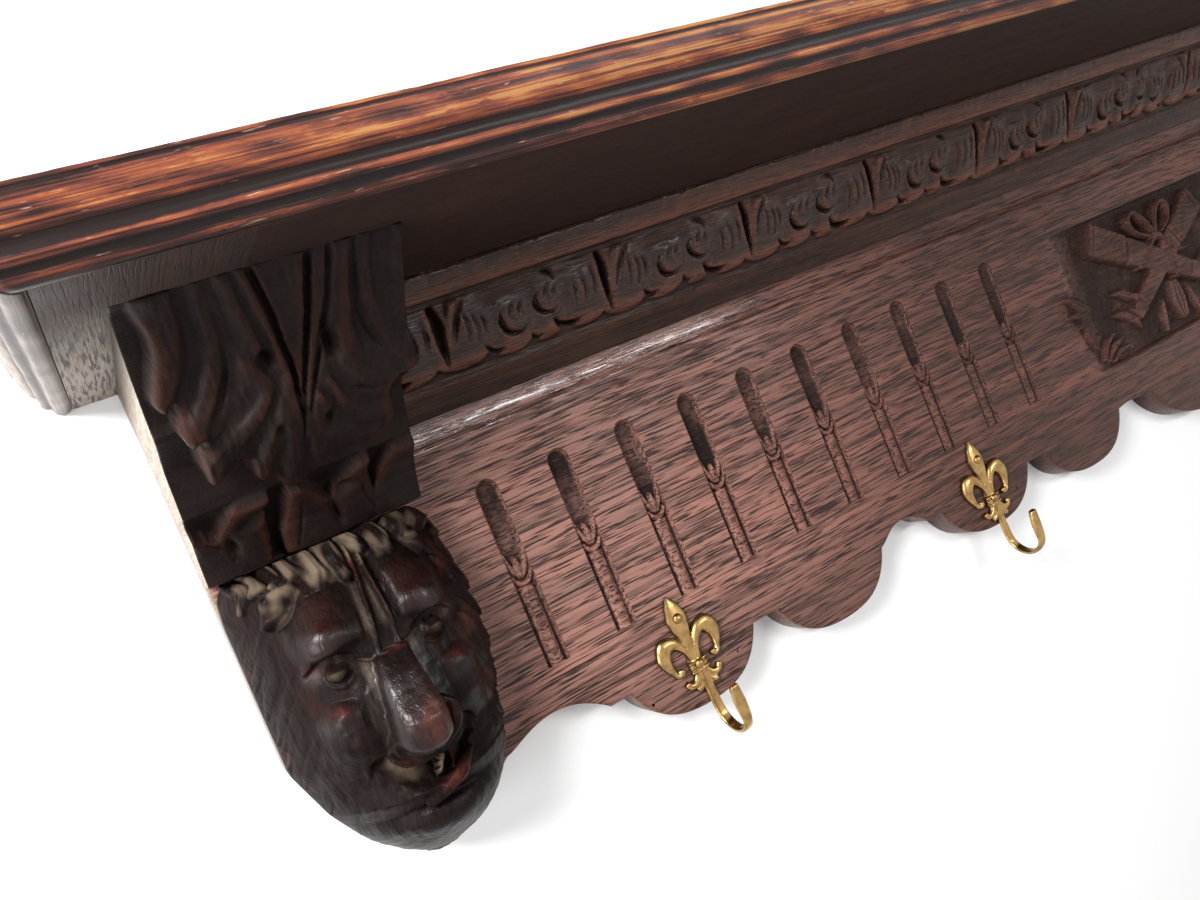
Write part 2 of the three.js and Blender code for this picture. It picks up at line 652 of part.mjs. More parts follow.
// Lion mask: relief over the board at p across (-1 to 1) and q down (0 to 1)
function lionRelief(p, q) {
  const a = Math.abs(p);
  const dome = Math.max(0, 1 - a ** 2.8) ** 0.75;
  const mass = along([[0, 0.56], [0.07, 0.5], [0.16, 0.62], [0.24, 0.68], [0.35, 0.6], [0.5, 0.64],
    [0.62, 0.66], [0.69, 0.56], [0.77, 0.66], [0.86, 0.58], [0.94, 0.42], [1, 0.14]], q);
  let h = mass * dome;
  // brows over sunk eyes, with round eyeballs and cheekbones below
  h += 0.17 * bump(a, q, 0.48, 0.215, 0.22, 0.055);
  h -= 0.1 * bump(a, q, 0.42, 0.315, 0.22, 0.045);
  h += 0.15 * bump(a, q, 0.43, 0.31, 0.1, 0.032);
  h += 0.09 * bump(a, q, 0.56, 0.43, 0.17, 0.07);
  // two furrows between the brows
  h -= 0.1 * Math.exp(-(((a - 0.12 + 0.2 * (q - 0.2)) / 0.05) ** 2)) * bump(q, 0, 0.2, 0, 0.12, 1);
  // flat bridge that widens and rises to the nose, with a nostril each side
  const wide = 0.13 + 0.35 * Math.max(0, q - 0.34);
  const bridge = smooth((q - 0.32) / 0.04) * (1 - smooth((q - 0.56) / 0.08));
  h += bridge * (1 - smooth((a - wide) / 0.09)) * (0.12 + 0.85 * (q - 0.34));
  h += 0.04 * bump(a, q, 0.26, 0.585, 0.07, 0.03) - 0.06 * bump(a, q, 0.17, 0.6, 0.05, 0.02);
  // upper lip, open mouth, lower lip and chin
  h += 0.08 * bump(a, q, 0.3, 0.64, 0.16, 0.03);
  h -= 0.26 * bump(a, q, 0.1, 0.69, 0.3, 0.022);
  h += 0.06 * bump(a, q, 0, 0.77, 0.28, 0.03);
  h -= 0.04 * bump(a, q, 0, 0.815, 0.3, 0.02);
  // ears and tufts at the top, strands down the sides
  h += 0.16 * bump(a, q, 0.66, 0.09, 0.16, 0.05) - 0.1 * bump(a, q, 0.66, 0.1, 0.07, 0.022);
  h += 0.05 * Math.cos(p * 24) * (1 - smooth((q - 0.04) / 0.05));
  h += 0.035 * Math.sin(q * 34 + a * 9) * smooth((a - 0.72) / 0.1) * (1 - a ** 8);
  return maskRelief * h;
}

// Columns stand closer together towards the middle of the face
const faceColumn = (s) => Math.sign(s - 0.5) * Math.abs(2 * s - 1) ** 1.2;

function lionMask(name, side) {
  const front = (s, t) => {
    const p = faceColumn(s);
    const [x, z] = maskPoint(side, (p + 1) / 2, t);
    const d = boardThick + maskEdge + lionRelief(p, t);
    return new THREE.Vector3(x, -d, z);
  };
  return piece(name, carvedBody(20, 30, front, boardThick), oak);
}

function hookPlaces() {
  return [
    { name: 'hook_1', x: -outerHookX, tip: outerHookTip, lean: firstHookLean },
    { name: 'hook_2', x: -innerHookX, tip: innerHookTip, lean: secondHookLean },
    { name: 'hook_3', x: innerHookX, tip: innerHookTip, lean: 0 },
    { name: 'hook_4', x: outerHookX, tip: outerHookTip, lean: 0 },
  ];
}

// Places of a hook's two nails, below its tip along its lean
function nailPlaces(place) {
  const lean = THREE.MathUtils.degToRad(place.lean);
  return [nailTop, nailTop + nailPitch].map((down) => [
    place.x + down * Math.sin(lean), place.tip - down * Math.cos(lean)]);
}

// Fleur-de-lis outline in shares of the plate's half width and height, from its tip down
function fleurShape() {
  const w = plateWidth / 2;
  const h = plateHeight;
  const at = (x, y) => [x * w, -y * h];
  const half = new THREE.Shape();
  half.moveTo(...at(0, 0));
  half.bezierCurveTo(...at(0.1, 0.1), ...at(0.37, 0.14), ...at(0.37, 0.26));
  half.bezierCurveTo(...at(0.37, 0.35), ...at(0.17, 0.4), ...at(0.17, 0.5));
  half.bezierCurveTo(...at(0.3, 0.42), ...at(0.5, 0.4), ...at(0.62, 0.4));
  half.bezierCurveTo(...at(0.85, 0.4), ...at(1, 0.48), ...at(1, 0.57));
  half.bezierCurveTo(...at(1, 0.66), ...at(0.8, 0.68), ...at(0.82, 0.76));
  half.bezierCurveTo(...at(0.78, 0.84), ...at(0.5, 0.82), ...at(0.56, 0.7));
  half.bezierCurveTo(...at(0.62, 0.62), ...at(0.62, 0.55), ...at(0.5, 0.55));
  half.bezierCurveTo(...at(0.36, 0.56), ...at(0.3, 0.66), ...at(0.28, 0.74));
  half.lineTo(...at(0.3, 0.84));
  half.bezierCurveTo(...at(0.4, 0.92), ...at(0.55, 0.92), ...at(0.62, 0.9));
  half.bezierCurveTo(...at(0.66, 0.98), ...at(0.4, 1.0), ...at(0.2, 0.97));
  half.lineTo(...at(0.17, 1.04));
  half.lineTo(...at(0, 1.06));
  const pts = half.getPoints(3);
  const right = pts.filter((p) => p.x > 1e-6);
  const left = right.map((p) => new THREE.Vector2(-p.x, p.y)).reverse();
  return new THREE.Shape([new THREE.Vector2(0, 0), ...right, new THREE.Vector2(0, -1.06 * h), ...left]);
}

// Strap: flat bar that leaves the plate's foot and turns up and out into a J
function strapShape() {
  const t = strapThick;
  const inner = (hookReach - 2 * t) / 2;
  const z0 = -plateHeight;
  const bend = z0 - hookDrop + t + inner;
  const d0 = 0;
  const shape = new THREE.Shape();
  shape.moveTo(d0, z0 + 8);
  shape.lineTo(d0, bend);
  shape.absarc(d0 + t + inner, bend, inner + t, Math.PI, 2 * Math.PI, false);
  shape.lineTo(d0 + hookReach, z0 - hookDrop + hookLip);
  shape.lineTo(d0 + hookReach - t, z0 - hookDrop + hookLip);
  shape.lineTo(d0 + hookReach - t, bend);
  shape.absarc(d0 + t + inner, bend, inner, 2 * Math.PI, Math.PI, true);
  shape.lineTo(d0 + t, z0 + 8);
  return shape;
}

function hook(place) {
  const face = boardThick;
  let solid = toSolid(plate(fleurShape(), face, face + plateThick));
  const strap = run(strapShape(), -strapWidth / 2, strapWidth / 2, 7);
  strap.translate(0, -face, 0);
  solid = solid.add(toSolid(strap));
  for (const z of [-nailTop, -nailTop - nailPitch]) {
    const hole = new THREE.CylinderGeometry(nailShankRadius + clearance, nailShankRadius + clearance, 20, 7);
    hole.translate(0, -face, z);
    solid = solid.subtract(toSolid(hole));
  }
  const g = toGeometry(solid);
  const mesh = piece(place.name, g, brass);
  mesh.position.set(place.x, 0, place.tip);
  mesh.rotation.y = -THREE.MathUtils.degToRad(place.lean);
  return mesh;
}

function nail(name, x, z) {
  const r = nailHeadRadius;
  const q = nailShankRadius;
  const top = boardThick + plateThick;
  const lathe = new THREE.LatheGeometry([
    new THREE.Vector2(0, -nailLength), new THREE.Vector2(q, -nailLength + 1), new THREE.Vector2(q, 0),
    new THREE.Vector2(r, 0), new THREE.Vector2(r * 0.8, r * 0.5), new THREE.Vector2(0, r * 0.75)], 8);
  lathe.rotateX(Math.PI);
  const mesh = piece(name, lathe, brass);
  mesh.position.set(x, -top, z);
  return mesh;
}

const rack = new THREE.Group();
rack.add(backboard(), ...shelf(), ...cornice(), rail());
rack.add(corbel('corbel_left', -1), corbel('corbel_right', 1));
rack.add(lionMask('lion_mask_left', -1), lionMask('lion_mask_right', 1));
for (const place of hookPlaces()) {
  rack.add(hook(place));
  const [upper, lower] = nailPlaces(place);
  rack.add(nail(`${place.name}_nail_upper`, ...upper), nail(`${place.name}_nail_lower`, ...lower));
}

export default rack;
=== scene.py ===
# Wall coat rack of carved, stained oak with four cast brass hooks, lying on its back on a white table.
# Sizes are in millimetres: x along the rack, d out from the wall, z up. The frame itself is in metres.
from math import cos, pi, radians, sin

import bmesh
import bpy
import numpy as np
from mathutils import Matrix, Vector
from mathutils.geometry import tessellate_polygon


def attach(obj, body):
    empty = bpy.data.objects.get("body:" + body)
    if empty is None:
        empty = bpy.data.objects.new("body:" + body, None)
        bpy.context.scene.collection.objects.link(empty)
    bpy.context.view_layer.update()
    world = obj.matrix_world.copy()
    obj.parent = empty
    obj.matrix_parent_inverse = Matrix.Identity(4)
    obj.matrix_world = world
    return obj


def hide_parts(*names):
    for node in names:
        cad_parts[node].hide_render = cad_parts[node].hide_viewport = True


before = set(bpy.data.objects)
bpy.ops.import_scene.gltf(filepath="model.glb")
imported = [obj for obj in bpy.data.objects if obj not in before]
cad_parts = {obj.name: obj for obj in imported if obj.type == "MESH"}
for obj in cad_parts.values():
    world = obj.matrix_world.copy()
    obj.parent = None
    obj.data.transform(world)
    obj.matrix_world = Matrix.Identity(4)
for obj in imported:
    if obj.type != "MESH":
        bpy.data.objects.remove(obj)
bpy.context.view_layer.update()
MM = 0.001                  # metres in a millimetre

# Sizes of the rack in millimetres
HALF_BOARD = 625.0          # half the backboard's length
BOARD_FACE = 17.0           # its thickness, so its face
SOFFIT = 90.0               # underside of the shelf
SHELF_THICK = 20.0
SHELF_DEEP = 179.0
SHELF_HALF = 642.0
SKIRT = -120.0              # edge between the lobes
LOBE_WIDE, LOBE_DROP = 76.0, 23.0
NOTCH = 16.0                # flat step between the two lobes of a pair
PAIRS = (176.0, 392.0)      # middles of the two pairs of lobes on a side
CENTRE_HALF, CENTRE_DROP = 58.0, 30.0
LEDGE = 11.0                # flat step beside a lobe
FLUTE_WIDE, FLUTE_LONG, FLUTE_DEEP = 11.4, 90.5, 4.0
FLUTES = [s * (160.0 + 38.0 * n) for s in (-1, 1) for n in range(10)]
RAIL_FOOT, RAIL_OUT, RAIL_END = 33.9, 33.0, 535.6
MASK_X, MASK_RIM = 579.5, 20.0
CORBEL_X, CORBEL_HALF = 580.5, 44.5
# Each hook's tip along the rack and up, and its lean in degrees
HOOKS = {"hook_1": (-441.0, -86.5, 4.5), "hook_2": (-224.5, -91.0, 3.5),
         "hook_3": (224.5, -91.0, 0.0), "hook_4": (441.0, -86.5, 0.0)}
NAIL_DROPS = (11.5, 36.0)   # below a hook's tip
NAIL_SEATS = (20.0, 20.2)   # where the heads of the upper and the lower nail sit, out from the wall
STRAP_TURN = (12.4, -60.5)  # centre of a hook's bend, from its tip
STRAP_REACH = (11.0, 10.4)  # half width and half height of that bend
# Old pin holes in the board, along the rack and up
PIN_HOLES = [(-467.5, -129.5), (-414.5, -128.0), (-200.0, -129.5), (200.0, -129.5), (467.0, -129.0)]
PIN_HALF, PIN_DEEP = 0.8, 3.0
PANEL_HALF, PANEL_TOP, PANEL_FOOT = 112.0, 2.0, -100.0
COVE_TOP, COVE_FOOT = 33.6, 21.6
LEAF_REPEAT = 87.4          # one leaf of the rail, from split to split
LEAF_START = 64.0           # from the middle of the rail to its first split
LEAF_FOOT, LEAF_TOP = 14.0, 50.0
CORBEL_OUT = 146.0          # the corbel's furthest point from the wall


# Carving tools


def ease(t):
    """A smooth step from 0 to 1."""
    t = np.clip(t, 0.0, 1.0)
    return t * t * (3 - 2 * t)


def bend(points, steps=7):
    """A smooth line through the points."""
    p = np.asarray(points, float)
    p = np.vstack([2 * p[0] - p[1], p, 2 * p[-1] - p[-2]])
    out = []
    for a, b, c, d in zip(p[:-3], p[1:-2], p[2:-1], p[3:]):
        for t in np.arange(steps) / steps:
            out.append(0.5 * (2 * b + (c - a) * t + (2 * a - 5 * b + 4 * c - d) * t * t
                              + (3 * b - a - 3 * c + d) * t ** 3))
    return np.array(out + [p[-2]])


def near(u, v, path):
    """Distance from each point to a line, and the share of its length passed there."""
    path = np.asarray(path, float)
    lengths = np.hypot(*np.diff(path, axis=0).T)
    total, run = lengths.sum(), 0.0
    best = np.full(np.shape(u), 1e9)
    share = np.zeros(np.shape(u))
    for a, b, w in zip(path[:-1], path[1:], lengths):
        t = np.clip(((u - a[0]) * (b[0] - a[0]) + (v - a[1]) * (b[1] - a[1])) / (w * w), 0, 1)
        d = np.hypot(u - a[0] - t * (b[0] - a[0]), v - a[1] - t * (b[1] - a[1]))
        closer = d < best
        best = np.where(closer, d, best)
        share = np.where(closer, (run + t * w) / total, share)
        run += w
    return best, share


def patch(u, v, path, reach):
    """The points of a carving that a tool of this reach can touch along a line."""
    path = np.atleast_2d(np.asarray(path, float))
    lo, hi = path.min(0) - reach, path.max(0) + reach
    return np.nonzero((u > lo[0]) & (u < hi[0]) & (v > lo[1]) & (v < hi[1]))


def finger(h, u, v, path, wide, high, base=0.0, blunt=0.5):
    """Raises a rounded finger along a line; wide lists its half widths on the way."""
    w = patch(u, v, path, max(wide))
    d, s = near(u[w], v[w], path)
    half = np.maximum(np.interp(s, np.linspace(0, 1, len(wide)), wide), 1e-3)
    top = np.broadcast_to(base, h.shape)[w] + high * np.clip(1 - (d / half) ** 2, 0, 1) ** blunt
    h[w] = np.where(d < half, np.maximum(h[w], top), h[w])


def gouge(h, u, v, path, wide, deep, steep=1.3):
    """Cuts a groove along a line; wide lists its half widths on the way."""
    w = patch(u, v, path, max(wide))
    d, s = near(u[w], v[w], path)
    half = np.maximum(np.interp(s, np.linspace(0, 1, len(wide)), wide), 1e-3)
    h[w] -= deep * np.clip(1 - d / half, 0, 1) ** steep * np.minimum(1, half / max(wide) + 0.25)


def swell(h, u, v, at, size, high, turn=0.0):
    """Adds a soft mound, or a hollow where high is negative."""
    w = patch(u, v, [at], 2.6 * max(size))
    c, s = cos(radians(turn)), sin(radians(turn))
    du, dv = u[w] - at[0], v[w] - at[1]
    p, q = (du * c + dv * s) / size[0], (dv * c - du * s) / size[1]
    h[w] += high * np.exp(-p * p - q * q)


def swells(h, u, v, *marks):
    """Adds several swells; each mark is a place, a size, a height and perhaps a turn."""
    for mark in marks:
        swell(h, u, v, *mark)


def wander(u, v, size, seed):
    """A smooth uneven field, about -1 to 1, with swells of this size."""
    rng = np.random.default_rng(seed)
    out = np.zeros(np.shape(u))
    for _ in range(7):
        a = rng.uniform(0, 2 * pi)
        f = 2 * pi / (size * rng.uniform(0.6, 1.7))
        out += np.sin(f * (u * cos(a) + v * sin(a)) + rng.uniform(0, 2 * pi))
    return out / 3.5


def soften(h, cells):
    """Running mean over a square of cells each way, twice."""
    for _ in range(2):
        for axis in (0, 1):
            pad = [(0, 0), (0, 0)]
            pad[axis] = (cells + 1, cells)
            c = np.cumsum(np.pad(h, pad, mode="edge"), axis=axis)
            n = h.shape[axis]
            lead = np.take(c, np.arange(2 * cells + 1, 2 * cells + 1 + n), axis=axis)
            trail = np.take(c, np.arange(n), axis=axis)
            h = (lead - trail) / (2 * cells + 1)
    return h


def handling(h, cells, scale=0.55):
    """Where hands and cloths have worn the high places, and the low ones, where dust has stayed; on the
    board's trophy these low places carry painted shade.
    """
    over = h - soften(h, cells)
    return np.clip(over / scale, 0, 1), np.clip(-over / (1.5 * scale), 0, 1)


# Making pieces


def grid_faces(rows, columns, first=0):
    """Four-sided faces of a grid of points."""
    i = np.arange(rows * columns).reshape(rows, columns) + first
    return np.stack([i[:-1, :-1], i[1:, :-1], i[1:, 1:], i[:-1, 1:]], -1).reshape(-1, 4).tolist()


def rim_of(rows, columns, first=0):
    """The points round the outside of a grid, in order."""
    i = np.arange(rows * columns).reshape(rows, columns) + first
    return np.concatenate([i[0, :-1], i[:-1, -1], i[-1, :0:-1], i[:0:-1, 0]]).tolist()


def tube_faces(rings, ring, first=0):
    """Four-sided faces between rings of points that follow one another."""
    faces = []
    for a in range(first, first + (rings - 1) * ring, ring):
        faces += [[a + i, a + (i + 1) % ring, a + ring + (i + 1) % ring, a + ring + i] for i in range(ring)]
    return faces


def fill(loops):
    """Points and anticlockwise triangles inside the first closed line, outside those that follow it."""
    flat = np.vstack(loops)
    triangles = []
    for a, b, c in tessellate_polygon([[Vector((x, z, 0.0)) for x, z in loop] for loop in loops]):
        p, q, r = flat[a], flat[b], flat[c]
        turn = (q[0] - p[0]) * (r[1] - p[1]) - (r[0] - p[0]) * (q[1] - p[1])
        if abs(turn) > 1e-9:
            triangles.append((a, b, c) if turn > 0 else (c, b, a))
    return flat, triangles


def make(name, points, faces, finish, node_names, marks=None, closed=True, flat_faces=0):
    """One piece of the rack from points in millimetres as x, d, z."""
    p = np.asarray(points, float)
    co = np.stack([p[:, 0], -p[:, 1], p[:, 2]], 1) * MM
    mesh = bpy.data.meshes.new(name)
    mesh.from_pydata(co.tolist(), [], faces)
    if closed:
        bm = bmesh.new()
        bm.from_mesh(mesh)
        bmesh.ops.recalc_face_normals(bm, faces=bm.faces)
        bm.to_mesh(mesh)
        bm.free()
    smooth = [True] * len(mesh.polygons)
    for n in range(flat_faces):
        smooth[-1 - n] = False
    mesh.polygons.foreach_set("use_smooth", smooth)
    for mark, values in (marks or {}).items():
        layer = mesh.attributes.new(mark, "FLOAT", "POINT")
        full = np.zeros(len(p), np.float32)
        full[:len(values)] = values
        layer.data.foreach_set("value", full)
    mesh.update()
    piece = bpy.data.objects.new(name, mesh)
    bpy.context.scene.collection.objects.link(piece)
    mesh.materials.append(finish)
    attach(piece, "root")
    if node_names:
        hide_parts(*node_names)
    return piece


def carving(name, grid, back, finish, node_names, slot, **marks):
    """A closed piece from a carved face and a flat back."""
    rows, columns = grid.shape[:2]
    points = grid.reshape(-1, 3)
    faces = grid_faces(rows, columns)
    rim = rim_of(rows, columns)
    first = len(points)
    behind = points[rim]
    behind[:, 1] = back
    n = len(rim)
    faces += [[rim[k], rim[(k + 1) % n], first + (k + 1) % n, first + k] for k in range(n)]
    faces.append([first + k for k in range(n)][::-1])
    points = np.vstack([points, behind])
    marks = {mark: np.ravel(values) for mark, values in marks.items()}
    return make(name, points, faces, finish, node_names, marks, flat_faces=n + 1)


# Finishes


def tint(hex_colour):
    """An sRGB hex colour as linear red, green, blue and alpha."""
    parts = [int(hex_colour[k:k + 2], 16) / 255 for k in (1, 3, 5)]
    return tuple(c / 12.92 if c <= 0.04045 else ((c + 0.055) / 1.055) ** 2.4 for c in parts) + (1.0,)


def node(tree, kind, links=None, **settings):
    """Adds a node, sets it, and fills or links its inputs by name or number."""
    n = tree.nodes.new(kind)
    for key, value in settings.items():
        setattr(n, key, value)
    for key, value in (links or {}).items():
        socket = n.inputs[key]
        if isinstance(value, bpy.types.NodeSocket):
            tree.links.new(value, socket)
        else:
            socket.default_value = value
    return n


def new_finish(name):
    """An empty material and its node tree."""
    finish = bpy.data.materials.new(name)
    finish.use_nodes = True
    finish.node_tree.nodes.clear()
    return finish, finish.node_tree


def oak(name, heart, early, pore, worn, dust_and_shade_colour, along="x", gloss=0.42, shine=0.5, pores=0.6, streaks=0.3,
        worn_share=1.0, pale=None, blotch=0.35, pore_wide=0.85, pore_long=13, dry=0.85,
        rubbed_bare=None, wax=0.0, polished=False, tooth=0.6, wax_soft=0.22, painted_light_end=None):
    """Oak with growth bands, open pores, worn high places and dust in the cuts, which on the board is dark
    painted shade.

    The five colours are the heart of a growth band, its early wood, the pores, worn places and dust; on the
    board that last colour is a dark painted shade.
    The marks named wear, dust and polish on a mesh say where those lie.
    """
    finish, tree = new_finish(name)
    place = node(tree, "ShaderNodeTexCoord").outputs["Object"]
    way = {"x": 0, "y": 1, "z": 2}[along]

    def grain(length, width, detail, low, high, most):
        """A share that runs in streaks of this length and width along the grain."""
        scale = [1000.0 / width] * 3
        scale[way] = 1000.0 / length
        run = node(tree, "ShaderNodeMapping", {"Vector": place, "Scale": scale}).outputs[0]
        noise = node(tree, "ShaderNodeTexNoise", {"Vector": run, "Scale": 1.0, "Detail": detail,
                                                  "Roughness": 0.58, "Distortion": 0.25}).outputs["Fac"]
        return node(tree, "ShaderNodeMapRange", {"Value": noise, "From Min": low, "From Max": high,
                                                 "To Max": most}).outputs[0]

    # growth bands 8 mm wide, fine streaks 1.6 mm wide and pores under a millimetre, a little coarse to show
    bands = grain(220, 8, 4.0, 0.36, 0.62, 1.0)
    fine = grain(55, 1.6, 3.0, 0.46, 0.64, streaks)
    dashes = grain(pore_long, pore_wide, 1.5, 0.53, 0.62, pores)
    clouds = node(tree, "ShaderNodeTexNoise", {"Vector": place, "Scale": 1000.0 / 42, "Detail": 5.0,
                                               "Roughness": 0.6}).outputs["Fac"]
    specks = node(tree, "ShaderNodeTexNoise", {"Vector": place, "Scale": 1000.0 / 3.2, "Detail": 3.0})
    specks = specks.outputs["Fac"]
    patches = node(tree, "ShaderNodeMapRange", {"Value": clouds, "From Min": 0.5, "From Max": 0.72,
                                                "To Max": blotch}).outputs[0]
    wear = node(tree, "ShaderNodeAttribute", attribute_name="wear").outputs["Fac"]
    ragged = node(tree, "ShaderNodeMath", {0: specks, 1: 0.5}, operation="ADD").outputs[0]
    ragged = node(tree, "ShaderNodeMath", {0: ragged, 1: wear}, operation="MULTIPLY").outputs[0]
    rubbed = node(tree, "ShaderNodeMapRange", {"Value": ragged, "From Min": 0.3, "From Max": 1.0,
                                               "To Max": worn_share}).outputs[0]
    dust = node(tree, "ShaderNodeAttribute", attribute_name="dust").outputs["Fac"]
    dust = node(tree, "ShaderNodeMath", {0: dust, 1: clouds}, operation="MULTIPLY").outputs[0]
    dust_and_shade_share = node(tree, "ShaderNodeMapRange", {"Value": dust, "From Min": 0.12, "From Max": 0.5}).outputs[0]
    # the colours lie over each other in this order
    layers = [(heart, bands), (pale or worn, patches)]
    if painted_light_end:
        # painted light: the wood between the pores is painted paler towards one end, where the light falls
        # brightest
        start, end, painted_light_colour, most = painted_light_end
        side = node(tree, "ShaderNodeSeparateXYZ", {0: place}).outputs[0]
        towards = node(tree, "ShaderNodeMapRange", {"Value": side, "From Min": start, "From Max": end,
                                                    "To Max": most}).outputs[0]
        layers.append((painted_light_colour, towards))
    layers += [(pore, fine), (worn, rubbed)]
    if rubbed_bare:
        bare = node(tree, "ShaderNodeMapRange", {"Value": ragged, "From Min": 0.78, "From Max": 1.4})
        layers.append((rubbed_bare, bare.outputs[0]))
    # dust in the low places, which on the board is painted shade
    layers += [(pore, dashes), (dust_and_shade_colour, dust_and_shade_share)]
    colour = tint(early)
    for top, share in layers:
        colour = node(tree, "ShaderNodeMix", {"Factor": share, 6: colour, 7: tint(top)},
                      data_type="RGBA").outputs[2]
    rough = node(tree, "ShaderNodeMapRange", {"Value": clouds, "From Min": 0.3, "From Max": 0.7,
                                              "To Min": gloss - 0.08, "To Max": gloss + 0.12}).outputs[0]
    rough = node(tree, "ShaderNodeMix", {"Factor": dust_and_shade_share, 2: rough, 3: dry}, data_type="FLOAT").outputs[0]
    grit = node(tree, "ShaderNodeMath", {0: specks, 1: 0.3}, operation="MULTIPLY").outputs[0]
    relief = node(tree, "ShaderNodeMath", {0: grit, 1: dashes}, operation="SUBTRACT").outputs[0]
    relief = node(tree, "ShaderNodeMath", {0: relief, 1: fine}, operation="SUBTRACT").outputs[0]
    bump = node(tree, "ShaderNodeBump", {"Height": relief, "Strength": tooth, "Distance": 0.00025}).outputs[0]
    if polished:
        thick = node(tree, "ShaderNodeAttribute", attribute_name="polish").outputs["Fac"]
        wax = node(tree, "ShaderNodeMath", {0: thick, 1: 0.9, 2: wax}, operation="MULTIPLY_ADD").outputs[0]
    skin = node(tree, "ShaderNodeBsdfPrincipled", {"Base Color": colour, "Roughness": rough,
                                                   "Specular IOR Level": shine, "IOR": 1.5, "Normal": bump,
                                                   "Coat Weight": wax, "Coat Roughness": wax_soft,
                                                   "Coat Normal": bump})
    node(tree, "ShaderNodeOutputMaterial", {"Surface": skin.outputs[0]})
    return finish


# Stained and waxed oak: grain along the board, dark open pores, a soft broad sheen; its left part is painted
# paler as painted light, and its hollows take a dark painted shade
board_oak = oak("stained_oak_board", "#9b6456", "#724b40", "#1c100e", "#70402f", "#211613",
                gloss=0.36, shine=0.16, pores=0.95, streaks=0.7, worn_share=0.5, pale="#a46a5b", blotch=0.6,
                pore_wide=0.75, pore_long=17, wax=0.08, polished=True, wax_soft=0.15,
                painted_light_end=(-0.20, -0.44, "#c3988a", 0.34))
# Dark stained oak of the rail, with the wax dulled and nearly black in the cuts
dark_oak = oak("dark_stained_oak", "#4a3229", "#35241d", "#150d0b", "#74432f", "#0c0706",
               gloss=0.38, shine=0.1, pores=0.6, streaks=0.5, blotch=0.3, worn_share=0.7,
               pale="#5d4338", pore_long=20, wax=0.06, polished=True)
# Nearly black underside of the shelf
soffit_oak = oak("black_stained_oak", "#2b1f1c", "#33231e", "#170e0d", "#52301f", "#7c705e",
                 gloss=0.5, shine=0.15, pores=0.45, blotch=0.3)
# Carved oak under old dark polish, rubbed red-brown on the high places, beige dust in the cuts
carved_oak = oak("carved_oak_old_polish", "#17100e", "#1e1412", "#0a0605", "#321714", "#655749",
                 along="z", gloss=0.38, shine=0.04, pores=0.5, streaks=0.55, blotch=0.2, pale="#251816",
                 pore_long=9, rubbed_bare="#50281a", wax=0.02, polished=True, tooth=0.4, wax_soft=0.3)
# Carved leaf of the corbels: blackened polish in the folds
corbel_oak = oak("blackened_carved_oak", "#1d1614", "#251b19", "#0e0908", "#3a2018", "#201a17",
                 along="z", gloss=0.42, shine=0.08, pores=0.25, streaks=0.25, blotch=0.3, worn_share=0.6,
                 pale="#2c2220")
# Bare sawn oak, dry and grey, where the stain never reached
bare_oak = oak("bare_sawn_oak", "#a89c8f", "#978b80", "#62594f", "#b5a99c", "#9a9184",
               along="y", gloss=0.7, shine=0.2, pores=0.5, blotch=0.4)


def lay_over(finish, share, top):
    """Lays another colour over a finish, by a share."""
    tree = finish.node_tree
    skin = next(n for n in tree.nodes if n.type == "BSDF_PRINCIPLED")
    below = skin.inputs["Base Color"].links[0].from_socket
    mixed = node(tree, "ShaderNodeMix", {"Factor": share, 6: below, 7: top}, data_type="RGBA")
    tree.links.new(mixed.outputs[2], skin.inputs["Base Color"])


def stain_part(finish, axis, start, end, hex_colour, most=1.0):
    """Lets a stain run over part of a finish, between two places in metres along an axis."""
    tree = finish.node_tree
    place = node(tree, "ShaderNodeTexCoord").outputs["Object"]
    along = node(tree, "ShaderNodeSeparateXYZ", {0: place}).outputs[axis]
    share = node(tree, "ShaderNodeMapRange", {"Value": along, "From Min": start, "From Max": end,
                                              "To Max": most}).outputs[0]
    lay_over(finish, share, tint(hex_colour))


# The corbel's cheek is painted darker at its top under the shelf, as painted shade, and the board darkens
# towards its lower edge, is painted darker from its left part across its middle and right half as painted
# shade, and is bare at its left end
stain_part(bare_oak, 2, 0.070, 0.090, "#352b26")
stain_part(board_oak, 2, -0.092, -0.124, "#33251f", 0.4)
# painted shade: the board is painted darker from its left part across the middle and the right half, where
# less light falls
stain_part(board_oak, 0, -0.38, -0.20, "#33251f", 0.48)
stain_part(board_oak, 0, -0.6225, -0.6245, "#857a6f", 0.85)


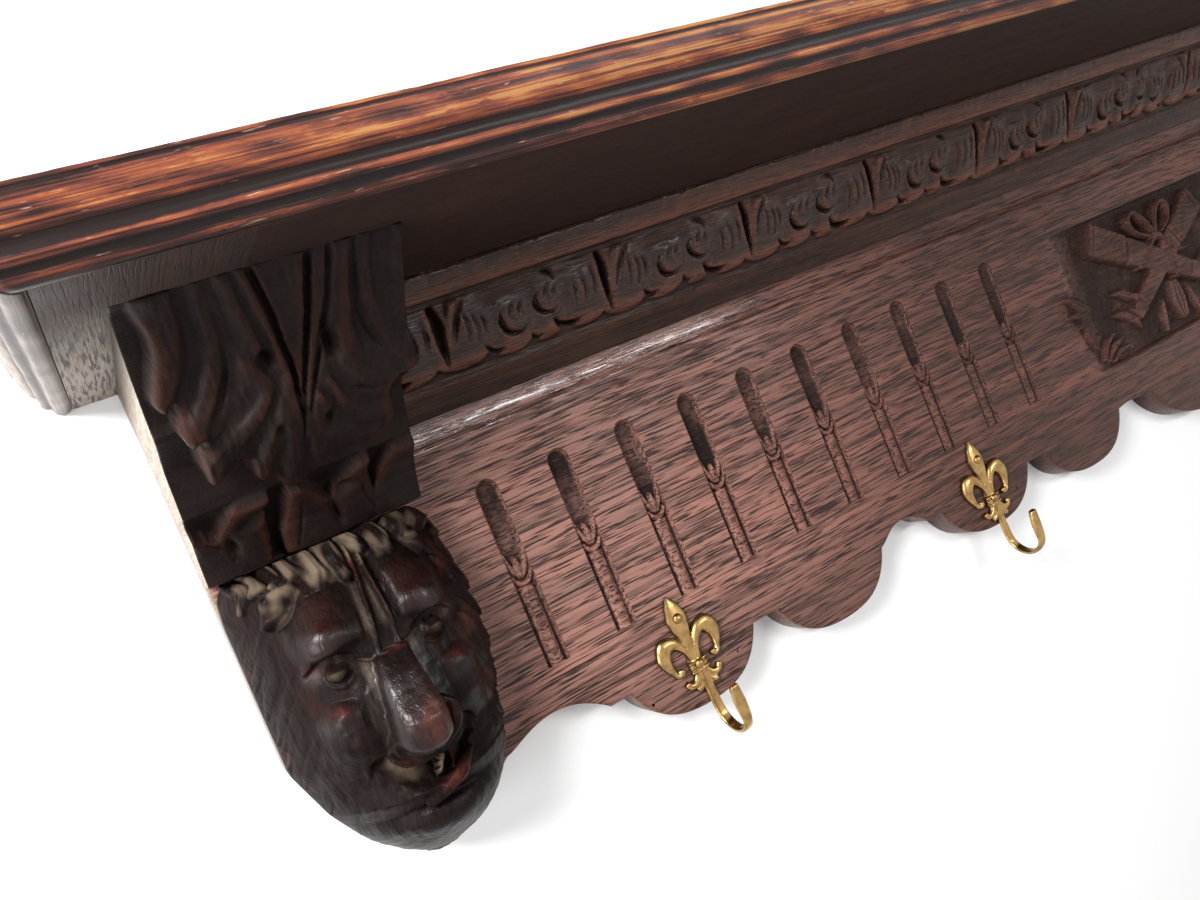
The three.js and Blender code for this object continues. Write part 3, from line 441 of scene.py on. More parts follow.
def rubbed_moulding(name, way, stops):
    """Moulding rubbed through its stain: long streaks on the high members, dark in the quirks.

    The way is the axis that the moulding runs along; the stops are its colours from dark to worn.
    """
    finish, tree = new_finish(name)
    place = node(tree, "ShaderNodeTexCoord").outputs["Object"]
    wear = node(tree, "ShaderNodeAttribute", attribute_name="wear").outputs["Fac"]
    dust = node(tree, "ShaderNodeAttribute", attribute_name="dust").outputs["Fac"]

    def streak(length, width, detail):
        """Noise in streaks of this length and width in millimetres."""
        scale = [1000.0 / width] * 3
        scale[way] = 1000.0 / length
        run = node(tree, "ShaderNodeMapping", {"Vector": place, "Scale": scale}).outputs[0]
        return node(tree, "ShaderNodeTexNoise", {"Vector": run, "Scale": 1.0, "Detail": detail,
                                                 "Roughness": 0.66, "Distortion": 0.3}).outputs["Fac"]
    both = streak(130, 1.0, 6.0)
    for share, other in ((0.4, streak(30, 0.6, 4.0)), (0.45, streak(260, 2.4, 4.0))):
        both = node(tree, "ShaderNodeMix", {"Factor": share, 2: both, 3: other}, data_type="FLOAT").outputs[0]
    spread = node(tree, "ShaderNodeMapRange", {"Value": both, "From Min": 0.405, "From Max": 0.6}).outputs[0]
    lifted = node(tree, "ShaderNodeMath", {0: wear, 1: 0.7, 2: -0.52}, operation="MULTIPLY_ADD").outputs[0]
    level = node(tree, "ShaderNodeMath", {0: spread, 1: lifted}, operation="ADD").outputs[0]
    ramp = node(tree, "ShaderNodeValToRGB", {"Fac": level})
    cells = ramp.color_ramp.elements
    while len(cells) < len(stops):
        cells.new(0.5)
    for cell, (at, hex_colour) in zip(cells, stops):
        cell.position, cell.color = at, tint(hex_colour)
    seen = node(tree, "ShaderNodeMapRange", {"Value": wear, "From Min": 0.02, "From Max": 0.3}).outputs[0]
    colour = node(tree, "ShaderNodeMix", {"Factor": seen, 6: tint("#281a17"), 7: ramp.outputs[0]},
                  data_type="RGBA").outputs[2]
    # grey scuffs where the arris has been knocked
    knocks = streak(9, 0.8, 2.0)
    scuffed = node(tree, "ShaderNodeMapRange", {"Value": knocks, "From Min": 0.67, "From Max": 0.75})
    scuffed = node(tree, "ShaderNodeMath", {0: scuffed.outputs[0], 1: seen}, operation="MULTIPLY").outputs[0]
    for top, share in (("#a68a76", scuffed), ("#150e0d", dust)):
        colour = node(tree, "ShaderNodeMix", {"Factor": share, 6: colour, 7: tint(top)},
                      data_type="RGBA").outputs[2]
    rough = node(tree, "ShaderNodeMapRange", {"Value": both, "From Min": 0.35, "From Max": 0.65,
                                              "To Min": 0.3, "To Max": 0.5}).outputs[0]
    bump = node(tree, "ShaderNodeBump", {"Height": both, "Strength": 0.5, "Distance": 0.0005}).outputs[0]
    skin = node(tree, "ShaderNodeBsdfPrincipled", {"Base Color": colour, "Roughness": rough,
                                                   "Specular IOR Level": 0.25, "IOR": 1.5, "Normal": bump})
    node(tree, "ShaderNodeOutputMaterial", {"Surface": skin.outputs[0]})
    return finish


# Front moulding: orange and black streaks, grey scuffs
worn_oak = rubbed_moulding("rubbed_oak_moulding", 0, (
    (0.0, "#190f0e"), (0.22, "#2b1915"), (0.38, "#43261f"), (0.52, "#5c3026"), (0.68, "#78402f"),
    (0.84, "#93502f"), (1.0, "#ad7a49")))
# End mouldings: stain worn away to dry grey wood
dry_oak = rubbed_moulding("dry_oak_moulding", 1, (
    (0.0, "#241d1a"), (0.25, "#443a35"), (0.45, "#62564f"), (0.65, "#74675f"), (0.85, "#85766c"),
    (1.0, "#96877a")))


def brass_finish():
    """Cast brass: warm gold where it is rubbed, brown-black patina in the recesses."""
    finish, tree = new_finish("cast_brass_aged")
    place = node(tree, "ShaderNodeTexCoord").outputs["Object"]
    blots = node(tree, "ShaderNodeTexNoise", {"Vector": place, "Scale": 1000.0 / 5, "Detail": 5.0,
                                              "Roughness": 0.65}).outputs["Fac"]
    low = node(tree, "ShaderNodeAttribute", attribute_name="dust").outputs["Fac"]
    depth = node(tree, "ShaderNodeMath", {0: low, 1: blots}, operation="ADD").outputs[0]
    tarnish = node(tree, "ShaderNodeMapRange", {"Value": depth, "From Min": 0.40, "From Max": 0.85,
                                                "To Max": 0.85}).outputs[0]
    colour = node(tree, "ShaderNodeMix", {"Factor": tarnish, 6: tint("#b8955f"), 7: tint("#33251a")},
                  data_type="RGBA").outputs[2]
    rough = node(tree, "ShaderNodeMapRange", {"Value": depth, "From Min": 0.4, "From Max": 1.0,
                                              "To Min": 0.22, "To Max": 0.55}).outputs[0]
    bump = node(tree, "ShaderNodeBump", {"Height": blots, "Strength": 0.25, "Distance": 0.0002}).outputs[0]
    skin = node(tree, "ShaderNodeBsdfPrincipled", {"Base Color": colour, "Metallic": 1.0, "Roughness": rough,
                                                   "Normal": bump})
    node(tree, "ShaderNodeOutputMaterial", {"Surface": skin.outputs[0]})
    return finish


brass = brass_finish()


# Backboard


def bezier(a, b, c, d, steps=14):
    """The points of a curve from a to d, without a itself."""
    t = np.linspace(0, 1, steps + 1)[1:, None]
    return (1 - t) ** 3 * a + 3 * (1 - t) ** 2 * t * b + 3 * (1 - t) * t * t * c + t ** 3 * d


def lower_edge():
    """The scalloped lower edge and the end of the right half, from the centre line outwards."""
    line = [np.array([0.0, SKIRT - CENTRE_DROP])]

    def to(x, z):
        line.append(np.array([x, z], float))

    def curve(*p):
        line.extend(bezier(line[-1], *[np.array(q, float) for q in p]))

    def lobe(x0, x1):
        low, mid, w = SKIRT - LOBE_DROP, (x0 + x1) / 2, x1 - x0
        curve((x0 + 0.1 * w, SKIRT - 0.75 * LOBE_DROP), (x0 + 0.25 * w, low), (mid, low))
        curve((x1 - 0.25 * w, low), (x1 - 0.1 * w, SKIRT - 0.75 * LOBE_DROP), (x1, SKIRT))

    def arch(x0, x1, z1, rise):
        to(x0 + LEDGE, SKIRT)
        a = x0 + LEDGE
        crown, top = a + 0.5 * (x1 - a), SKIRT + rise
        curve((a + 0.3 * (crown - a), SKIRT + 0.6 * rise), (crown - 0.4 * (crown - a), top), (crown, top))
        curve((crown + 0.45 * (x1 - crown), top), (x1 - 0.3 * (x1 - crown), z1 + 0.25 * (top - z1)), (x1, z1))

    low = SKIRT - CENTRE_DROP
    curve((0.45 * CENTRE_HALF, low), (0.82 * CENTRE_HALF, SKIRT - 0.7 * CENTRE_DROP), (CENTRE_HALF, SKIRT))
    x, rises = CENTRE_HALF, (1, 8)
    for middle, rise in zip(PAIRS, rises):
        arch(x, middle - NOTCH / 2 - LOBE_WIDE, SKIRT, rise)
        lobe(middle - NOTCH / 2 - LOBE_WIDE, middle - NOTCH / 2)
        to(middle + NOTCH / 2, SKIRT)
        lobe(middle + NOTCH / 2, middle + NOTCH / 2 + LOBE_WIDE)
        x = middle + NOTCH / 2 + LOBE_WIDE
    arch(x, 541.0, -116.0, 11)
    # behind the lion mask the board keeps a millimetre or two inside the mask's own edge
    for p in ((548, -121), (558, -128), (572, -131), (587, -130), (598, -122), (608, -110), (617, -92),
              (HALF_BOARD, -76), (HALF_BOARD, SOFFIT)):
        to(*p)
    return np.array(line)


def whole_edge(half):
    """The closed anticlockwise edge from its right half, which the left half mirrors."""
    return np.vstack([half, (half[1:] * [-1, 1])[::-1]])


def inset(loop, amount):
    """The same closed anticlockwise loop, moved inwards."""
    ahead = np.roll(loop, -1, 0) - loop
    behind = loop - np.roll(loop, 1, 0)
    ahead /= np.linalg.norm(ahead, axis=1, keepdims=True)
    behind /= np.linalg.norm(behind, axis=1, keepdims=True)
    way = ahead + behind
    way /= np.linalg.norm(way, axis=1, keepdims=True)
    out = np.stack([-way[:, 1], way[:, 0]], 1)
    stretch = np.clip(1 / np.maximum((way * ahead).sum(1), 0.5), 1, 1.6)[:, None]
    return loop + out * amount * stretch


def opening(half, top, foot):
    """The corners of an oblong opening across the middle of the board."""
    return np.array([(-half, top), (-half, foot), (half, foot), (half, top)], float)


def flute_depth(x, z):
    """Depth of a flute below the board's face: a channel with a husk and a cable in its lower part."""
    r = FLUTE_WIDE / 2
    across = np.where(z > -r, np.hypot(x, z + r), np.abs(x)) / r
    deep = FLUTE_DEEP * np.sqrt(np.clip(1 - across ** 2, 0, 1)) ** 0.9
    rod = 0.3 + 3.6 * (1 - np.sqrt(np.clip(1 - (x / 4.0) ** 2, 0, 1)))
    rod = np.where(np.abs(x) < 4.0, rod, 9.0) + 9 * ease((z + 52.2) / 0.8)
    # husk: a pointed bead held by two lips over a crescent
    husk = np.full(np.shape(x), 9.0)
    lift = np.zeros(np.shape(x))
    for line, wide, high in (
            ([(-5.2, -34.6), (-4.6, -39), (-3.0, -43.5), (-0.6, -47.6)], [0.7, 1.4, 1.6, 0.9], 2.9),
            ([(5.2, -34.6), (4.6, -39), (3.0, -43.5), (0.6, -47.6)], [0.7, 1.4, 1.6, 0.9], 2.9),
            ([(0, -38.6), (0, -42.8), (0, -46.2)], [0.8, 2.3, 1.0], 3.1),
            ([(-4.6, -46.6), (-2.6, -49.6), (0, -50.6), (2.6, -49.6), (4.6, -46.6)],
             [0.8, 1.3, 1.5, 1.3, 0.8], 3.0)):
        finger(lift, x, z, bend(line), wide, high)
    husk = np.where(lift > 0.05, 3.3 - lift, husk)
    deep = np.minimum(deep, np.minimum(rod, husk))
    return np.where(z < -FLUTE_LONG + 0.2, 0.0, deep)


def flute_parts(x_middle, seed):
    """Points, faces and marks of one flute, and the loop of its outer rim."""
    r = FLUTE_WIDE / 2
    rho = np.concatenate([r * np.sin(np.linspace(0, pi / 2, 13)), [r + 0.4]])
    z_side = np.concatenate([[-FLUTE_LONG - 0.4, -FLUTE_LONG, -FLUTE_LONG + 0.25],
                             np.linspace(-FLUTE_LONG + 1, -52.8, 26), np.linspace(-52.4, -34, 34),
                             np.linspace(-33, -r, 16)])
    swing = np.linspace(-pi / 2, pi / 2, 17)[1:-1]
    left = [(-rho, np.full_like(rho, z)) for z in z_side]
    head = [(rho * sin(f), -r + rho * cos(f)) for f in swing]
    right = [(rho, np.full_like(rho, z)) for z in z_side[::-1]]
    x = np.array([p[0] for p in left + head + right])
    z = np.array([p[1] for p in left + head + right])
    deep = flute_depth(x, z)
    ripple = 0.12 * wander(x * 3 + seed * 31, z, 12, seed)
    d = BOARD_FACE - deep - np.where(deep > 0.4, ripple, 0)
    wear = np.where((np.abs(deep) < 0.9) & (z < -36), 0.55, 0.0)
    # painted shade: the deep part of each channel is darkened with the board's dark dust colour
    dust = np.clip((deep - 1.2) / 1.6, 0, 1) * np.where(z < -34, 1.0, 0.8)
    points = np.stack([x + x_middle, d, z], -1)
    rim = np.stack([x[:, -1] + x_middle, z[:, -1]], 1)
    return points, wear, dust, rim


def trophy_relief(x, z):
    """The carved trophy: two crossed quivers tied with a ribbon, among leaves, on a sunk ground."""
    a = np.abs(x)
    h = np.zeros(x.shape)
    # the ground sinks away from its ends, under a clean ledge above and below
    inside = ease((106 - a) / 46) * ease((-1.6 - z) / 1.4) * ease((z + 95.5) / 2.2)
    h -= 5.2 * inside
    h -= 0.5 * inside * wander(x, z, 7, 5)
    floor = h.copy()

    def leaf(path, wide, high):
        """A leaf with a cut rib."""
        line = bend(path)
        finger(h, x, z, line, wide, high, floor, 0.6)
        gouge(h, x, z, line, [0.5, 0.9, 0.5], 1.4)

    # end sprigs, trefoils and tufts on both sides, turned as the two halves of the panel
    for s in (-1, 1):
        def at(*pts):
            """Places measured on the flattened photograph, where the panel's middle is at 501."""
            return [(-s * (p - 501.0), q) for p, q in pts]
        for path in (((371, -44), (377, -41), (386, -37)), ((371, -51), (379, -50), (387, -46)),
                     ((373, -58), (380, -58), (387, -56)), ((376, -64), (382, -64), (387, -63))):
            gouge(h, x, z, at(*path), [0.4, 1.6, 0.8], 1.6)
        leaf(at((412, -53), (403, -48), (397, -43)), [2.5, 5.0, 2.0], 4.6)
        leaf(at((412, -53), (403, -54), (395, -54)), [2.5, 4.6, 2.0], 4.4)
        leaf(at((412, -55), (405, -59), (399, -62)), [2.2, 4.2, 1.6], 4.4)
        leaf(at((404, -62), (405, -70), (408, -79)), [1.6, 2.2, 1.4], 4.0)
        for path in (((412, -88), (420, -80), (431, -76)), ((416, -90), (426, -84), (439, -81)),
                     ((422, -91.5), (432, -88), (442, -87))):
            leaf(at(*path), [1.2, 2.8, 1.0], 4.2)
        leaf(at((443, -53), (452, -54.5), (462, -60), (474, -63)), [1.2, 4.2, 4.0, 1.5], 5.0)
        leaf(at((437, -66), (446, -67.5), (455, -73), (459, -80)), [1.2, 4.0, 3.8, 1.5], 4.8)
        for pin in at((367, -13), (369, -81)):
            swell(h, x, z, pin, (1.6, 1.6), -2.2)

    def quiver(foot, mouth, start, end, base):
        """A quiver that widens from its foot to its mouth and stands on the carving below it."""
        foot, mouth = np.array(foot, float), np.array(mouth, float)
        way = (mouth - foot) / np.hypot(*(mouth - foot))
        t = (x - foot[0]) * way[0] + (z - foot[1]) * way[1]
        q = -(x - foot[0]) * way[1] + (z - foot[1]) * way[0]
        long = np.hypot(*(mouth - foot))
        half = start + (end - start) * np.clip(t / long, 0, 1)
        on = ease((half - np.abs(q)) / 1.0) * ease(t / 1.2) * ease((long - t) / 1.2)
        body = base + 5.4 + 0.9 * np.sqrt(np.clip(1 - (q / half) ** 2, 0, 1))
        # mouth block with a band, a groove and feathered ends
        body = body + 1.0 * ease((t - long + 36) / 1.5)
        body -= 1.8 * np.exp(-((t - long + 38) / 1.1) ** 2) + 1.2 * np.exp(-((t - long + 5) / 1.0) ** 2)
        body += 0.7 * np.exp(-((t - 9) / 2.2) ** 2) - 0.9 * np.exp(-((t - 13) / 0.8) ** 2)
        feathers = np.abs(((t * 0.9 + np.abs(q) * 0.9) / 4.6) % 1 - 0.5)
        body -= 1.3 * feathers * ease((t - long + 33) / 1.5) * ease((long - 7 - t) / 1.5)
        h[...] = np.where(on > 0.02, h * (1 - on) + np.maximum(h, body) * on, h)

    quiver((-44, -72), (54, -16), 5.5, 10.5, -5.2)
    quiver((36, -66), (-66, -13), 6.5, 12.0, -4.4)
    # ribbon bow with two loops, its knot and hanging tails
    for s in (-1, 1):
        for path, wide, high in (
                (((0, -29), (s * 6, -17), (s * 15, -9), (s * 22, -13), (s * 18, -22), (s * 7, -28)),
                 [1.6, 2.2, 2.4, 2.4, 2.2, 1.4], 8.4),
                (((0, -30), (s * 9, -34), (s * 17, -43), (s * 25, -45)), [1.4, 2.4, 2.6, 1.4], 8.2)):
            finger(h, x, z, bend(path), wide, high, -5.2)
            gouge(h, x, z, bend(path), [0.4, 0.8, 0.8, 0.4], 0.8)
        swell(h, x, z, (s * 15, -17), (4.5, 4.0), -2.6)
    finger(h, x, z, [(-2.6, -28), (2.8, -30)], [3.4, 3.4], 9.2, -5.2)
    # pointed leaf over the crossing and ridged leaves below it
    finger(h, x, z, bend([(6, -41), (7, -50), (7, -61)]), [0.8, 3.8, 0.8], 8.6, -5.2, 0.7)
    gouge(h, x, z, [(7, -44), (7, -59)], [0.6, 0.6], 1.2)
    for s in (-1, 0, 1):
        finger(h, x, z, bend([(3 + 2.0 * s, -62), (3 + 4.5 * s, -75), (3 + 2.2 * s, -88)]),
               [1.0, 2.6, 0.8], 6.2, -5.2, 0.7)
    finger(h, x, z, bend([(-13, -71), (-16, -81), (-18, -91)]), [0.8, 5.0, 0.8], 5.2, -5.2, 0.8)
    finger(h, x, z, bend([(17, -71), (20, -81), (22, -91)]), [0.8, 5.0, 0.8], 5.2, -5.2, 0.8)
    return np.minimum(h, 5.6)


def backboard():
    """The board: a rounded edge, a flat front, and the carved openings in it."""
    loop = whole_edge(lower_edge())
    n = len(loop)
    points, wear, dust = [], [], []
    # edge: wall side, arris rounded over 0.9 mm, then a worn strip 2.5 mm wide
    rings = [(0.0, 0.0, 0.0), (0.0, BOARD_FACE - 0.9, 0.25), (0.25, BOARD_FACE - 0.28, 0.8),
             (0.9, BOARD_FACE, 0.75), (3.4, BOARD_FACE, 0.0)]
    for cut, d, w in rings:
        points += [(x, d, z) for x, z in inset(loop, cut)]
        wear += [w] * n
    faces = tube_faces(len(rings), n)
    flat_first = len(faces)
    faces.append(list(range(n))[::-1])
    # openings in the flat front: flutes, trophy, cove and old pin holes
    holes = []
    carved = []
    for k, x in enumerate(FLUTES):
        grid, w, g, rim = flute_parts(x, k)
        carved.append((grid, w, g))
        holes.append(rim[::-1])
    tx, tz = np.meshgrid(np.linspace(-PANEL_HALF, PANEL_HALF, 374), np.linspace(PANEL_TOP, PANEL_FOOT, 171))
    relief = trophy_relief(tx, tz)
    w, g = handling(relief, 4, 1.0)
    # the panel has kept more of its dark stain than the board round it, and painted shade darkens its low
    # places and deepest hollows
    stain = 0.62 * ease(np.abs(relief) / 1.4) + 0.7 * np.clip((-relief - 2.6) / 1.6, 0, 1)
    carved.append((np.stack([tx, BOARD_FACE + relief, tz], -1), w * 0.3, np.clip(g + stain, 0, 1)))
    holes.append(opening(PANEL_HALF, PANEL_TOP, PANEL_FOOT))
    cove_half = RAIL_END - 1
    cx, cz = np.meshgrid(np.linspace(-cove_half, cove_half, 540), np.linspace(COVE_TOP, COVE_FOOT, 17))
    q = (cz - 27.9) / 5.5
    hollow = 1.6 * np.sqrt(np.clip(1 - q * q, 0, 1)) * (1 + 0.12 * wander(cx, cz * 3, 60, 3))
    # painted shade: the cove is darkened along its top, under the rail's foot
    carved.append((np.stack([cx, BOARD_FACE - hollow, cz], -1), 0.35 * (np.abs(q) > 0.9),
                   np.clip(q - 0.55, 0, 1) * 1.2))
    cove_polish = 1.35 * ease((-300 - cx) / 90)
    holes.append(opening(cove_half, COVE_TOP, COVE_FOOT))
    f = np.linspace(0, 2 * pi, 9)[:-1]
    for px, pz in PIN_HOLES:
        ring = np.stack([px + PIN_HALF * np.cos(f), pz + PIN_HALF * np.sin(f)], 1)
        holes.append(ring[::-1])
        first = len(points)
        points += [(x, BOARD_FACE, z) for x, z in ring] + [(px, BOARD_FACE - PIN_DEEP, pz)]
        faces += [[first + k, first + (k + 1) % 8, first + 8] for k in range(8)]
    # flat front round the openings
    first = len(points)
    flat, triangles = fill([inset(loop, rings[-1][0])] + holes)
    points += [(x, BOARD_FACE, z) for x, z in flat]
    faces += [[first + k for k in triangle] for triangle in triangles]
    flats = len(faces) - flat_first
    # the edge has its marks, and neither holes nor front have any
    points = [np.asarray(points, float)]
    count = len(points[0])
    wear += [0.0] * (count - len(wear))
    dust = [0.0] * count
    smooth_faces = []
    for grid, w, g in carved:
        rows, columns = grid.shape[:2]
        f = grid_faces(rows, columns, count)
        r, c = rows // 2, columns // 2
        down, back = grid[r + 1, c] - grid[r, c], grid[r, c - 1] - grid[r, c]
        if np.cross(down[[0, 2]], back[[0, 2]]) > 0:
            f = [q[::-1] for q in f]
        smooth_faces += f
        points.append(grid.reshape(-1, 3))
        wear += list(np.ravel(w))
        dust += list(np.ravel(g))
        count += rows * columns
    ordered = faces[:flat_first] + smooth_faces + faces[flat_first:]
    # the cove is the last of the carved places, and it alone is polished
    polish = [0.0] * (count - cove_polish.size) + list(cove_polish.ravel())
    make("backboard_carved", np.vstack(points), ordered, board_oak, ["backboard"],
         {"wear": wear, "dust": dust, "polish": polish}, closed=False, flat_faces=flats)


# Carved rail under the shelf


def leaf_tile(q, w):
    """One repeat of the rail's leaves: q along from the split of two leaves, w up the band."""
    v = (w - 15) / 33
    h = 3.2 * np.sin(pi * np.clip(0.06 + 0.9 * v, 0, 1)) ** 0.7
    for shift in (-LEAF_REPEAT, 0, LEAF_REPEAT):
        u = q - shift

        def stroke(path, wide, deep):
            gouge(h, u, w, bend(path), wide, deep, 1.0)

        # broad soft masses: the leaf on each side of the split, two curls, and valleys between
        swells(h, u, w, ((13, 36), (7, 12), 1.5), ((36, 33), (8.5, 8.5), 1.1), ((54.5, 36.5), (7.5, 8), 1.0),
               ((73, 35), (7, 11), 1.4), ((25.5, 31), (3.5, 12), -1.3), ((46, 33), (2.8, 12), -1.5),
               ((63.5, 31), (3, 10), -1.5), ((31, 44), (9, 2.5), -1.0), ((12, 20), (7, 3), 1.1),
               ((34, 19), (7, 2.6), 1.0), ((52, 21), (5, 3), 1.2), ((76, 20), (6, 3), 1.1))
        # the split: a deep pointed wedge between two horns
        stroke([(-3.6, 49.5), (-1.4, 42), (-0.4, 31), (1.6, 20)], [1.6, 3.0, 1.9, 0.4], 6.5)
        stroke([(12.4, 48), (7.6, 40), (4.6, 30)], [0.5, 1.2, 0.4], 3.0)
        horn = bend([(7.4, 49.0), (5.0, 43), (3.6, 35), (3.0, 26)])
        finger(h, u, w, horn, [2.4, 2.0, 1.2, 0.5], 1.0, 2.4, 0.8)
        # long thin veins curving off the horns
        for path in (((10.5, 45), (12.4, 38), (11.8, 29)), ((14.5, 43.5), (17.2, 36.5), (17.0, 28)),
                     ((19.0, 41), (21.4, 35.5), (21.2, 30)), ((67.6, 42.5), (69.2, 35), (68.2, 26.5)),
                     ((72.6, 44), (74.6, 36), (73.8, 27)), ((79, 44.5), (80.4, 37.5), (79.8, 31))):
            stroke(path, [0.3, 1.1, 0.4], 2.8)
        # two curls, each a deep C with small cuts inside it
        stroke([(30.6, 38.5), (29.2, 33), (31.6, 27.6), (37.0, 25.6), (42.4, 28.0)],
               [0.4, 1.2, 1.6, 1.2, 0.3], 4.2)
        for path in (((36.8, 41), (34.2, 36), (35.4, 31.6)), ((41.0, 40.5), (38.8, 36.4), (39.8, 33.2))):
            stroke(path, [0.3, 1.3, 0.4], 2.6)
        stroke([(49.4, 41.0), (47.8, 36.5), (49.4, 32.0), (54.0, 29.8), (58.6, 31.6)],
               [0.4, 1.1, 1.5, 1.1, 0.3], 4.2)
        for path in (((55.5, 43.8), (53.0, 39.4), (53.8, 35.4)), ((59.2, 42.0), (57.4, 38.8), (57.8, 36.2))):
            stroke(path, [0.3, 1.2, 0.4], 2.4)
        stroke([(53.0, 48.8), (57.6, 47.2), (59.4, 44.0)], [0.5, 1.5, 0.5], 3.0)
        # crescents cut under the curls
        stroke([(55.5, 26.0), (58.5, 21.4), (64.0, 19.4), (70.0, 20.6)], [0.4, 1.9, 2.2, 0.6], 5.0)
        stroke([(19.5, 24.5), (24.0, 19.8), (29.0, 20.4)], [0.4, 1.7, 0.5], 3.4)
        stroke([(43.0, 22.8), (46.0, 19.0), (48.8, 20.6)], [0.4, 1.4, 0.4], 2.8)
    # the leaf ends in hanging lobes above a plain strip
    joints = np.array([-4.0, 20.5, 43.5, 60.0, 83.4, 107.9])
    k = np.clip(np.searchsorted(joints, q) - 1, 0, 4)
    share = (q - joints[k]) / (joints[k + 1] - joints[k])
    low = 20.5 - 4.8 * np.sin(pi * np.clip(share, 0, 1)) ** 0.5
    return 0.4 + (h - 0.4) * ease((w - low) / 1.3)


def acanthus_rail():
    """The sloping rail: a plain foot, the band of leaves, a groove and a chipped fillet."""
    columns, rows = 140, 70
    tile = leaf_tile(*np.meshgrid(np.linspace(0, LEAF_REPEAT, columns),
                                  np.linspace(LEAF_FOOT, LEAF_TOP, rows)))
    slope = np.hypot(RAIL_OUT, SOFFIT - RAIL_FOOT)
    w = np.concatenate([[0, 0.7], np.linspace(1.6, 13.6, 7), np.linspace(14.6, 48.6, 52),
                        [49.6, 50.3, 51.2, 52.2, 52.9, 53.5, 54.3, 57, 60, 63, slope]])
    x = np.linspace(-RAIL_END, RAIL_END, 1300)
    xx, wgrid = np.meshgrid(x, w)
    # each repeat is cut by hand, so its strokes stray by up to a millimetre
    q = -np.abs(xx) + LEAF_START + 1.1 * wander(xx, wgrid, 70, 11)
    up = wgrid + 0.7 * wander(xx, wgrid, 55, 12)
    qi = q % LEAF_REPEAT / LEAF_REPEAT * (columns - 1)
    wi = np.clip((up - LEAF_FOOT) / (LEAF_TOP - LEAF_FOOT) * (rows - 1), 0, rows - 1.001)
    i, j = np.clip(qi.astype(int), 0, columns - 2), wi.astype(int)
    fq, fw = qi - i, wi - j
    carve = (tile[j, i] * (1 - fq) + tile[j, i + 1] * fq) * (1 - fw) \
        + (tile[j + 1, i] * (1 - fq) + tile[j + 1, i + 1] * fq) * fw
    band = ease((wgrid - 14.8) / 1.1) * ease((49.6 - wgrid) / 1.2)
    h = band * (carve - 1.0) * ease((RAIL_END - np.abs(xx)) / 1.5)
    h += 1.3 * (1 - ease((wgrid - 13.4) / 1.2)) * ease(wgrid / 0.8)
    h += 1.7 * ease((wgrid - 52.4) / 1.0)
    h -= 1.6 * ease((wgrid - 49.2) / 0.8) * (1 - ease((wgrid - 52.2) / 0.8))
    chips = np.clip(wander(xx, wgrid * 2, 9, 21) - 0.55, 0, 1) * ease((wgrid - 59) / 3)
    h -= 1.6 * chips
    h += 0.10 * wander(xx, wgrid * 3, 8, 22)
    over, out = (SOFFIT - RAIL_FOOT) / slope, RAIL_OUT / slope
    d = BOARD_FACE + out * wgrid + over * h
    z = RAIL_FOOT + over * wgrid - out * h
    z = np.where(wgrid >= slope - 0.01, SOFFIT, np.minimum(z, SOFFIT))
    z = np.where(wgrid <= 0.01, RAIL_FOOT, z)
    wear, dust = handling(h, 3, 0.9)
    wear = wear * 0.8 + 0.3 * (wgrid > 53) + 0.5 * np.clip(chips * 3, 0, 1) \
        + 0.9 * band * ease((27 - wgrid) / 6) * ease(h / 1.5)
    dust = np.clip(dust * 1.1 * band + 0.5 * ((wgrid > 49) & (wgrid < 53)), 0, 1)
    # wax still shines on the fillet and the crowns of the leaves, most at the left
    sheen = (0.26 * (wgrid > 53) + 0.34 * band * ease(h / 1.5)) * (0.45 + 0.55 * ease((-150 - xx) / 200))
    carving("acanthus_rail_carved", np.stack([xx, d, z], -1), BOARD_FACE, dark_oak, ["acanthus_rail"],
            "dark_oak", wear=wear, dust=dust, polish=sheen)


# Corbels


# The leaf's profile from the shelf down, as depth and height, and how deep the corbel's plain body
# lies below it, as height and depth
LEAF_PROFILE = np.array([(141, 90), (134, 86), (128, 82), (121, 76), (114, 70.6), (110, 66), (107, 62),
                         (104.5, 56), (101, 50), (96, 46.5), (87, 42.5), (78, 38), (69, 32.5), (60, 27),
                         (51, 22), (45, 17), (40, 11), (36, 5)], float)
BODY_DEEP = [(90, 1), (86, 4), (78, 5.5), (66, 7), (56, 11), (46, 10), (38, 11), (30, 5), (24, 2), (17, 1),
             (5, 0)]


def drape(u, v, folds, soft=0.8):
    """A carved surface that swells and sinks through folds: lines with the heights along them."""
    total, weight = np.zeros(u.shape), np.zeros(u.shape)
    for path, heights in folds:
        d, s = near(u, v, bend(path, 4))
        w = 1 / (d * d + soft) ** 1.6
        total += w * np.interp(s, np.linspace(0, 1, len(heights)), heights)
        weight += w
    return 0.52 * total / weight


def within(u, v, loop):
    """Which points lie inside a closed line."""
    inside = np.zeros(u.shape, bool)
    for (x0, z0), (x1, z1) in zip(loop, np.roll(loop, -1, 0)):
        if z0 != z1:
            inside ^= ((z0 > v) != (z1 > v)) & (u < x0 + (v - z0) * (x1 - x0) / (z1 - z0))
    return inside


